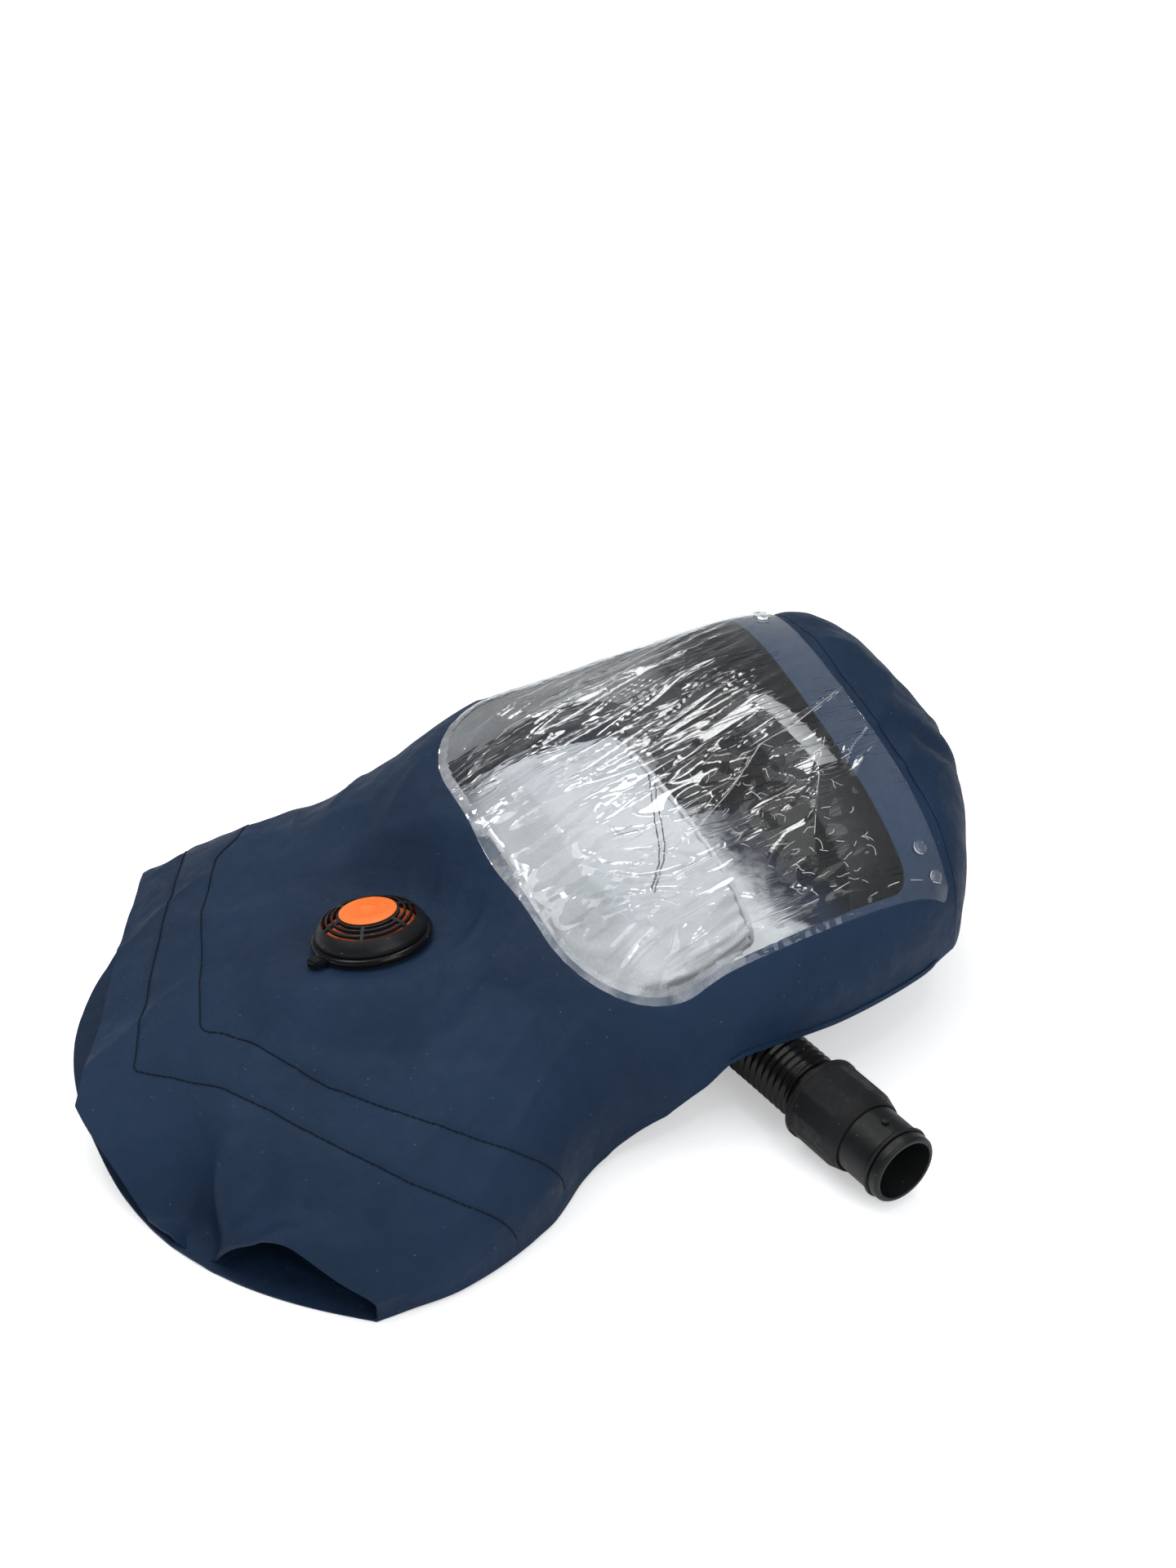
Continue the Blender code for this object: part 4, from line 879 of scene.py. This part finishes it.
def collar():
    """The pale inner collar, gathered by its elastic."""
    rows = np.linspace(COLLAR[0, 0], COLLAR[-1, 0], 46)
    angles = full_turn(144)
    x, turn = np.meshgrid(rows, angles, indexing="ij")
    width, middle, height = (np.interp(x, COLLAR[:, 0], COLLAR[:, c]) for c in (1, 2, 3))
    side = np.sign(np.cos(turn)) * np.abs(np.cos(turn)) ** 0.8
    share = (x - rows[0]) / (rows[-1] - rows[0])
    gather = 0.0012 * np.sin(turn * 34 + 2.0 * np.sin(turn * 3)) * share ** 2
    swell = lattice_noise(np.cos(turn) * 2.3 + 5, x / 0.05 + np.sin(turn) * 2.3 + 5, 21)
    puff = 0.0030 * swell * (1 - share * 0.5) + gather
    puff += 0.0018 * ridges(np.cos(turn) * 3.1 + 9, x / 0.03 + np.sin(turn) * 3.1, 22, 4)
    points = np.stack([x + CENTRE_X, width * side, middle + height * np.sin(turn) + 0.12 * width * side], axis=-1)
    normal = grid_normals(points, False)
    normal[:, -1] = normal[:, 0]
    outer = points + normal * (puff - 0.0010)[..., None]
    mesh = shell_mesh(outer, outer - normal * CLOTH, np.ones((45, 144), bool), False, ring=True)
    made = piece("collar_cloth", mesh, LINING, ("neck_collar",))
    ring, along = [Vector(p) for p in points[-1, :-1]], Vector((1.0, 0.0, 0.0))
    rings = []
    for i in range(len(ring)):
        run = (ring[(i + 1) % len(ring)] - ring[i - 1]).normalized()
        r = 0.0017 + 0.0002 * math.sin(i * 2.6)
        loop = [(r * math.cos(a), r * math.sin(a)) for a in np.linspace(0, math.tau, 10, endpoint=False)]
        rings.append((loop, along, run.cross(along).normalized()))
    piece("collar_elastic", sweep_mesh(ring, rings, True), LINING, ("neck_elastic",))
    return outer[np.sin(turn) > 0]


harness()
COLLAR_TOP = collar()


def growth_tree(name, sizes, build):
    """A node tree that makes what build returns solid and painted, with the identifiers of its inputs."""
    tree = bpy.data.node_groups.new(name, "GeometryNodeTree")

    def socket(label, kind, way="INPUT"):
        return tree.interface.new_socket(label, in_out=way, socket_type="NodeSocket" + kind).identifier

    socket("Geometry", "Geometry")
    keys = [socket(label, kind) for label, kind in (*sizes, ("Finish", "Material"))]
    socket("Geometry", "Geometry", "OUTPUT")
    graph = Graph(tree)
    given = graph.node("NodeGroupInput").outputs
    solid = graph.first("GeometryNodeRealizeInstances", {"Geometry": build(graph, given)})
    painted = graph.first("GeometryNodeSetMaterial", {"Geometry": solid, "Material": given["Finish"]})
    graph.node("NodeGroupOutput", {0: painted})
    return tree, keys


def spun(graph, given):
    """Copies around Z."""
    points = graph.first("GeometryNodePoints", {"Count": given["Count"]})
    index = graph.first("GeometryNodeInputIndex")
    step = graph.math("DIVIDE", math.tau, given["Count"])
    turn = graph.first("ShaderNodeCombineXYZ", {"Z": graph.math("MULTIPLY", index, step)})
    return graph.first("GeometryNodeInstanceOnPoints", {
        "Points": points, "Instance": given["Geometry"], "Rotation": turn})


def sewn_row(graph, given):
    """Short threads at even steps along a line of points."""
    line = graph.first("GeometryNodeMeshToCurve", {"Mesh": given["Geometry"]})
    even = graph.first("GeometryNodeResampleCurve", {"Curve": line, "Length": given["Step"]}, mode="LENGTH")
    heading = graph.first("GeometryNodeInputTangent")
    turn = graph.first("FunctionNodeAlignRotationToVector", {"Vector": heading}, axis="Z")
    thread = graph.first("GeometryNodeMeshCylinder", {
        "Vertices": 6, "Radius": given["Thickness"], "Depth": given["Length"]})
    return graph.first("GeometryNodeInstanceOnPoints", {
        "Points": even, "Instance": thread, "Rotation": turn})


def slim_ridges(graph, given):
    """Thin ridges, slim at both ends, along lines of points; they carry the painted highlights of the film's creases.
    """
    line = graph.first("GeometryNodeMeshToCurve", {"Mesh": given["Geometry"]})
    share = graph.node("GeometryNodeSplineParameter").outputs["Factor"]
    swell = graph.math("ADD", graph.math("SINE", graph.math("MULTIPLY", share, math.pi)), 0.15)
    shaped = graph.first("GeometryNodeSetCurveRadius", {"Curve": line, "Radius": swell})
    ring = graph.first("GeometryNodeCurvePrimitiveCircle", {"Resolution": 5, "Radius": given["Thickness"]})
    return graph.first("GeometryNodeCurveToMesh", {
        "Curve": shaped, "Profile Curve": ring, "Fill Caps": True})


SPUN = growth_tree("spun_copies", [("Count", "Int")], spun)
STITCHES = growth_tree("stitch_row", [(label, "Float") for label in ("Step", "Length", "Thickness")], sewn_row)
HIGHLIGHT_RIDGES = growth_tree("painted_highlight_ridges", [("Thickness", "Float")], slim_ridges)


def grown(mesh, growth, *values):
    """The mesh that a node tree makes from another one."""
    tree, keys = growth
    source = bpy.data.objects.new("source", mesh)
    bpy.context.scene.collection.objects.link(source)
    modifier = source.modifiers.new("grow", "NODES")
    modifier.node_group = tree
    for key, value in zip(keys, values):
        modifier[key] = value
    bpy.context.view_layer.update()
    made = bpy.data.meshes.new_from_object(source.evaluated_get(bpy.context.evaluated_depsgraph_get()))
    source.modifiers.clear()
    bpy.data.objects.remove(source, do_unlink=True)
    return made


def block_mesh(loop, low, high):
    """An upright block from a flat loop of points."""
    count = len(loop)
    faces = [tuple(range(count - 1, -1, -1)), tuple(range(count, 2 * count))]
    return mesh_of([(x, y, z) for z in (low, high) for x, y in loop], faces + ring_faces(2, count, False))


# The valve cover's top line as (radius, height above the cloth), and its rings between the slots
DOME = metres(((14, 20.7), (17.5, 20.3), (23, 19.5), (29, 16.5), (32.5, 12.5), (34, 10)))
GRILLE_RINGS = metres(((15.8, 19), (21.4, 22.6), (25, 26.2)))
GRILLE, GRILLE_RIBS, CAP_RAYS, CAP_TOP = 0.0022, 6, 30, 0.0221
FLANGE_Z, TAB_TURN = 0.0017, math.radians(-167.0)
ACROSS, UPWARDS = Vector((0.0, 1.0, 0.0)), Vector((0.0, 0.0, 1.0))


def dome(radius):
    return float(np.interp(radius, [r for r, _ in DOME], [z for _, z in DOME]))


def bar_mesh(line, loop):
    """A straight bar along points of (radius, height), with loop as its section."""
    path = [Vector((r, 0.0, z)) for r, z in line]
    return sweep_mesh(path, [(loop, ACROSS, UPWARDS)] * len(path))


def valve():
    """The exhalation valve: flange with thumb tab, slotted cover and capped top."""
    low = FLANGE_Z
    tab = [(0.0395 + 0.006 * math.cos(a), 0.006 * math.sin(a)) for a in np.linspace(-math.pi / 2, math.pi / 2, 15)]
    tab = block_mesh(tab + [(0.030, 0.006), (0.030, -0.006)], low + 0.0003, low + 0.0031)
    ridge = [(0.0380, -0.004), (0.0430, -0.004), (0.0430, 0.004), (0.0380, 0.004)]
    tab = joined([tab, block_mesh(ridge, low + 0.0028, low + 0.0037)])
    tab.transform(Matrix.Rotation(TAB_TURN, 4, "Z"))
    flange = [(0.0345, low + 0.0052), (0.0362, low + 0.0045), (0.037, low + 0.0025), (0.0362, low), (0.022, low),
              (0.022, -0.0085), (0.020, -0.0085), (0.020, low + 0.0052)]
    base = joined([lathe_mesh(eased_loop(flange, 0.0009)), tab])
    piece("valve_base_moulding", settle(base, VALVE), GLOSS, ("valve_base",))

    skirt = [(0.0286, dome(0.0286)), (0.0310, dome(0.0310)), *DOME[-2:], (0.0340, 0.0072), (0.0290, 0.0072),
             (0.0290, 0.0125), (0.0280, dome(0.0286) - GRILLE)]
    parts = [lathe_mesh(eased_loop(skirt, 0.0005))]
    for inner, outer in GRILLE_RINGS:
        top = [(inner, dome(inner)), (outer, dome(outer))]
        parts.append(lathe_mesh(eased_loop(top + [(r, z - GRILLE) for r, z in reversed(top)], 0.0003)))
    bar = [(-0.0013, -0.0010), (-0.0013, 0.0007), (-0.0009, 0.0011)]
    bar += [(-a, b) for a, b in reversed(bar)]
    rib = bar_mesh([(r, dome(r) - 0.0010) for r in np.linspace(0.0170, 0.0300, 9)], bar)
    cover = settle(joined(parts + [grown(rib, SPUN, GRILLE_RIBS, SATIN)]), VALVE)
    piece("valve_cover_grille", cover, SATIN, ("valve_cover",), "valve_cover")

    cap = [(0.0, 0.0218), (0.0045, 0.0218), (0.0050, CAP_TOP), (0.0120, CAP_TOP), (0.0125, 0.0217), (0.0160, 0.0215),
           (0.0175, 0.0211), (0.0175, 0.0208), (0.0158, 0.0208), (0.0158, 0.0170), (0.0, 0.0170)]
    mark = [(-0.00035, -0.0003), (-0.00035, 0.0001), (0.0, 0.00028), (0.00035, 0.0001), (0.00035, -0.0003)]
    ray = bar_mesh([(r, CAP_TOP) for r in (0.0056, 0.0085, 0.0114)], mark)
    face = lathe_mesh(eased_loop(cap, 0.0003, False), closed=False)
    face = settle(joined([face, grown(ray, SPUN, CAP_RAYS, ORANGE)]), VALVE)
    piece("valve_cap_disc", face, ORANGE, ("valve_cap",), "valve_cover")


# The nut's rings: place along it, radius, and how far the flats cut in there
NUT_RIM_R, NUT_BORE_R, NUT_SIDES, NUT_FLATS = 0.027, 0.0225, 144, 12
NUT_RINGS = (
    (0.0, NUT_RIM_R - 0.0008, 0), (0.0006, NUT_RIM_R, 0), (0.0030, NUT_RIM_R, 0), (0.0034, NUT_RIM_R - 0.0003, 0.4),
    (0.0040, NUT_R, 1), (0.0300, NUT_R, 1), (0.0320, 0.0264, 0.3), (0.0330, 0.0262, 0), (0.0415, 0.0237, 0),
    (0.0420, 0.0232, 0), (NUT_LENGTH, NUT_BORE_R, 0), (0.0, NUT_BORE_R, 0),
)
GROOVE_R, STOP_R, SEAL_R, SEAL = 0.0208, 0.0236, 0.0223, 0.0011


def connector():
    """The nut with flats, the spigot with its lugs, and the sealing ring."""
    heading = math.radians(CONNECTOR_HEADING)
    place = axes_at((*CONNECTOR_REAR, CONNECTOR_Z), (math.cos(heading), math.sin(heading), 0.0), UPWARDS)
    points = []
    for s, radius, cut in NUT_RINGS:
        for k in range(NUT_SIDES):
            angle, half = math.tau * k / NUT_SIDES, math.pi / NUT_FLATS
            flat = radius * math.cos(half) / math.cos((angle + half) % (2 * half) - half)
            r = radius + (min(flat * 1.006, radius) - radius) * cut
            points.append((r * math.cos(angle), r * math.sin(angle), s))
    mesh = settle(mesh_of(points, ring_faces(len(NUT_RINGS), NUT_SIDES, True)), place, 20)
    nut = piece("coupling_nut_moulding", mesh, GRAINY, ("coupling_nut",), "coupling_nut")

    rear, groove = NUT_HOLD + SEAM_GAP, (O_RING_S + 0.0016, O_RING_S - 0.0016)
    tube = [(SPIGOT_R - 0.0015, CONNECTOR_LENGTH), (SPIGOT_R, CONNECTOR_LENGTH - 0.0015), (SPIGOT_R, groove[0]),
            (GROOVE_R, groove[0]), (GROOVE_R, groove[1]), (SPIGOT_R, groove[1]), (SPIGOT_R, 0.018), (STOP_R, 0.018),
            (STOP_R, 0.014), (SPIGOT_R, 0.014), (SPIGOT_R, rear), (SPIGOT_BORE_R, rear),
            (SPIGOT_BORE_R, CONNECTOR_LENGTH)]
    lug = eased_loop([(0.0, 0.0240), (0.0022, 0.0240), (0.0022, 0.0205), (0.0, 0.0205)], 0.0004, False)
    lug = lathe_mesh(lug, 24, False)
    lug.transform(Matrix.Translation((0.0, 0.0, LUG_S)) @ Matrix.Rotation(math.pi / 2, 4, "Y"))
    mesh = settle(joined([lathe_mesh(eased_loop(tube, 0.0006)), grown(lug, SPUN, 2, SATIN)]), place)
    spigot = piece("spigot_tube", mesh, SATIN, ("spigot",))
    ring = [(SEAL_R + SEAL * math.cos(a), O_RING_S + SEAL * math.sin(a)) for a in np.linspace(0, math.tau, 20, False)]
    seal = piece("spigot_seal", settle(lathe_mesh(ring), place), RUBBER, ("spigot_o_ring",))
    return [nut, spigot, seal]


def hose(fittings):
    """The ribbed hose as a tube along its line, from the elbow to the connector."""
    line = [p + Vector((CENTRE_X, 0.0, 0.0)) for p in reversed(ROUTE)]
    steps = np.concatenate([[0.0], np.cumsum([(b - a).length for a, b in zip(line, line[1:])])])
    length = float(steps[-1])
    rows = np.linspace(0.0, length, round(length / RIB_PITCH * 10))
    centre = np.stack([np.interp(rows, steps, [p[k] for p in line]) for k in range(3)], axis=-1)
    run = np.gradient(centre, axis=0)
    run /= np.linalg.norm(run, axis=-1, keepdims=True)
    side = np.cross(run, (0.0, 0.0, 1.0))
    side /= np.linalg.norm(side, axis=-1, keepdims=True)
    up = np.cross(side, run)
    wave = 0.5 + 0.5 * np.cos(math.tau * rows / RIB_PITCH)
    radius = HOSE_ROOT_R + (HOSE_R - HOSE_ROOT_R) * wave ** 0.8
    angles = full_turn(64)
    around = side[:, None, :] * np.cos(angles)[None, :, None] + up[:, None, :] * np.sin(angles)[None, :, None]
    outer, inner = (centre[:, None, :] + around * r[:, None, None] for r in (radius, radius - HOSE_WALL))
    mesh = shell_mesh(outer, inner, np.ones((len(rows) - 1, 64), bool), True, ring=True)
    made = piece("ribbed_hose", mesh, GLOSS, ("air_hose",))


valve()
hose(connector())
# Solids that are shown as they are
for look, names in (
        (RUBBER, ("valve_gasket", "hose_cuff", "inlet_gasket")), (ORANGE, ("valve_seat",)), (GRAINY, ("ratchet_knob",)),
        (ORANGE_RUBBER, ("exhale_flap",)), (FILM_LOOK, [f"visor_snap_{k}" for k in (1, 2, 3, 4)]),
        (SATIN, ("valve_clamp_ring", "inlet_elbow", "inlet_clamp_ring", "ratchet_housing", "band_tail_near",
                 "band_tail_far"))):
    for name in names:
        NODES[name].data.materials.clear()
        NODES[name].data.materials.append(look)


def stitches(name, path, step=0.0042, length=0.0034, thickness=0.00045):
    line = mesh_of([tuple(p) for p in path], (), [(i, i + 1) for i in range(len(path) - 1)])
    return piece(name, settle(grown(line, STITCHES, step, length, thickness, THREAD)), THREAD)


# The collar's sewn fold and its row of stitches, as x and y
COLLAR_SEAMS = metres((
    ((71.7, 28.6), (66.6, 16.6), (59.7, 0.6), (53.8, -13.4), (48.5, -27.3), (42, -39.9), (34.4, -49.5),
     (29.4, -54.8)),
    ((72.1, 21.1), (63.9, 3), (58.7, -11.4), (52.6, -26.4), (46.6, -37.8), (38.1, -48.5), (29.1, -58.3)),
))


def on_grid(grid, row, column):
    """Points of a grid between its rows and columns."""
    i, j = row.astype(int), column.astype(int)
    u, v = (row - i)[:, None], (column - j)[:, None]
    low = grid[i, j] * (1 - u) + grid[i + 1, j] * u
    high = grid[i, j + 1] * (1 - u) + grid[i + 1, j + 1] * u
    return low * (1 - v) + high * v


def hem_stitches():
    """The two rows of stitches along the front hem."""
    across = np.linspace(-0.985, 0.965, 420)
    for number, line in enumerate(HEM_LINES, 1):
        row = np.interp(hem_line(line, across), BODY_ROWS, np.arange(len(BODY_ROWS)))
        column = (across + 1) / 2 * (CLOTH_COLUMNS - 1) + 1
        stitches(f"hem_stitches_{number}", on_grid(FRONT_GRID, row, column) + (0.0, 0.0, 0.0003))


def collar_stitches():
    """The folded seam across the collar, laid on its cloth: its fold and its row of stitches."""
    for number, points in enumerate(COLLAR_SEAMS, 1):
        path = []
        for spot in smooth_path([(x, y, 0.0) for x, y in points], 6):
            away = np.hypot(COLLAR_TOP[:, 0] - spot.x, COLLAR_TOP[:, 1] - spot.y)
            near = np.argsort(away)[:4]
            path.append((spot.x, spot.y, float(np.mean(COLLAR_TOP[near, 2])) + 0.0004))
        stitches(f"collar_stitches_{number}", path, 0.0036, 0.0030, 0.00035)


hem_stitches()
collar_stitches()


# The fold whose painted highlight runs in a zigzag, the zigzag's step, and the half thickness of the painted highlight
# ridges
CRIMPED, CRIMP, HIGHLIGHT_R = BROW_FOLDS[1][2], (0.0009, -0.0012), 0.00020
# How many of the first main folds carry an unbroken painted highlight; the others get dashes
WHOLE_HIGHLIGHTS = 3


def highlight_lines():
    """Lines for the painted highlights: broken parallel creases on the far half of the film, crinkles on the near half,
    and the main folds.
    """
    draw = np.random.default_rng(31)
    lines = []
    for _ in range(28):
        start, turn = draw.uniform((-0.030, -0.018), (0.060, 0.108)), math.radians(draw.uniform(3.0, 12.0))
        reach, gone = draw.uniform(0.05, 0.12), 0.0
        while gone < reach:
            dash = draw.uniform(0.003, 0.011)
            run = np.linspace(gone, gone + dash, 4)
            sway = 0.0006 * np.sin(run * 260)
            lines.append(start + np.stack([run * math.cos(turn), run * math.sin(turn) + sway], axis=1))
            gone += dash + draw.uniform(0.0015, 0.0060)
    for _ in range(130):
        start, turn = draw.uniform((-0.020, -0.118), (0.155, -0.015)), math.radians(draw.uniform(-30.0, 12.0))
        turns = turn + np.cumsum(draw.normal(0.0, 0.35, draw.integers(4, 9)))
        lines.append(start + np.cumsum(0.0013 * np.stack([np.cos(turns), np.sin(turns)], axis=1), axis=0))
    for number, (_, _, points) in enumerate(FILM_FOLDS + BROW_FOLDS):
        line = np.array([p[:2] for p in smooth_path([(x - CENTRE_X, y, 0.0) for x, y in points], 9)])
        if points == CRIMPED:
            line[1::2] += CRIMP
        whole = number < WHOLE_HIGHLIGHTS or points == CRIMPED
        lines += [line] if whole else [line[k:k + 4] for k in range(0, len(line) - 4, 6)]
    return lines


def film_creases():
    """Painted highlights: pale ridges laid along the film's creases, standing for glints of light on them."""
    points, edges = [], []
    for line in highlight_lines():
        x, y = line.T
        along = x - (skewed(x, y) - x)
        row = np.interp(along, FILM_ROWS, np.arange(len(FILM_ROWS)))
        column = (share_across(along, y) - FILM_SPAN[0]) / (FILM_SPAN[1] - FILM_SPAN[0]) * (FILM_COLUMNS - 1)
        held = (outline_distance(along, y, VISOR) < -0.003) & (column > 2) & (column < FILM_COLUMNS - 3)
        if held.sum() < 3:
            continue
        first = len(points)
        points += on_grid(FILM_GRID, row[held], column[held]).tolist()
        edges += [(k, k + 1) for k in range(first, len(points) - 1)]
    ridge = grown(mesh_of(points, (), edges), HIGHLIGHT_RIDGES, HIGHLIGHT_R, GLINT)
    piece("film_painted_highlight_ridges", settle(ridge), GLINT)


film_creases()


# Lamps: place, aim, size and power
WINDOW_MIDDLE, HOOD_MIDDLE = (0.05, 0.0, 0.15), (0.0, 0.0, 0.05)
LAMPS = {
    "key_light": ((-0.9, 0.7, 1.9), HOOD_MIDDLE, 1.2, 10.5),
    "fill_light": ((0.3, -1.6, 1.2), HOOD_MIDDLE, 1.4, 9.5),
    "top_light": ((0.1, 0.2, 2.3), (0.0, 0.0, 0.0), 1.8, 7.0),
    "film_light": ((0.54, 0.95, 1.69), WINDOW_MIDDLE, 0.35, 4.0),
    "crease_light_1": ((-0.50, 1.00, 1.60), WINDOW_MIDDLE, 0.20, 2.0),
    "crease_light_2": ((0.35, -0.70, 1.90), WINDOW_MIDDLE, 0.20, 2.0),
    "crease_light_3": ((0.30, 1.30, 1.10), WINDOW_MIDDLE, 0.20, 2.0),
}
FLOOR_REACH, FLOOR_Z = 12.0, -0.0006
CAMERA_PLACE, CAMERA_TILT, CAMERA_TURN, CAMERA_LENS = (-0.46325, -0.9649, 0.89), 56.0, -27.0, 49.455


def lamp(name, place, aim, size, power):
    data = bpy.data.lights.new(name, "AREA")
    data.shape, data.size, data.energy = "DISK", size, power
    return shown(name, data, place, (Vector(aim) - Vector(place)).to_track_quat("-Z", "Y").to_euler())


def studio():
    """Pale floor, soft light and the camera."""
    scene = bpy.context.scene
    scene.view_settings.view_transform = "Standard"
    world = bpy.data.worlds.new("soft room")
    scene.world = world
    world.use_nodes = True
    graph = Graph(world.node_tree)
    world.node_tree.nodes.clear()
    path = graph.node("ShaderNodeLightPath").outputs
    seen = graph.math("MAXIMUM", path["Is Camera Ray"], path["Is Transmission Ray"])
    strength = graph.ramp(path["Is Glossy Ray"], result=(0.66, 0.20))
    room = graph.first("ShaderNodeBackground", {"Color": (0.95, 0.97, 1.0, 1.0), "Strength": strength})
    white = graph.first("ShaderNodeBackground", {"Color": (1.0, 1.0, 1.0, 1.0), "Strength": 1.0})
    both = graph.first("ShaderNodeMixShader", {0: seen, 1: room, 2: white})
    graph.node("ShaderNodeOutputWorld", {"Surface": both})

    corners = [(x * FLOOR_REACH, y * FLOOR_REACH, FLOOR_Z) for x, y in ((-1, -1), (1, -1), (1, 1), (-1, 1))]
    floor = shown("floor", mesh_of(corners, [(0, 1, 2, 3)]))
    look = Look("pale floor", (0.90, 0.90, 0.90), 0.9, **{"Emission Color": (1.0, 1.0, 1.0, 1.0)})
    patches = look.group(PATCHES, Scale=3.0)
    look.feed("Base Color", look.mix(patches["Tone"], (0.88, 0.88, 0.88), (0.91, 0.91, 0.91)))
    ray = look.graph.node("ShaderNodeLightPath").outputs["Is Camera Ray"]
    look.feed("Emission Strength", look.graph.math("MULTIPLY", ray, 0.38))
    floor.data.materials.append(look.material)

    lamps = [lamp(name, *row) for name, row in LAMPS.items()]
    data = bpy.data.cameras.new("camera")
    data.lens, data.sensor_width, data.sensor_fit = CAMERA_LENS, 36.0, "AUTO"
    data.clip_start, data.clip_end = 0.01, 50.0
    camera = shown("camera", data, CAMERA_PLACE, (math.radians(CAMERA_TILT), 0.0, math.radians(CAMERA_TURN)))
    scene.camera = camera


studio()
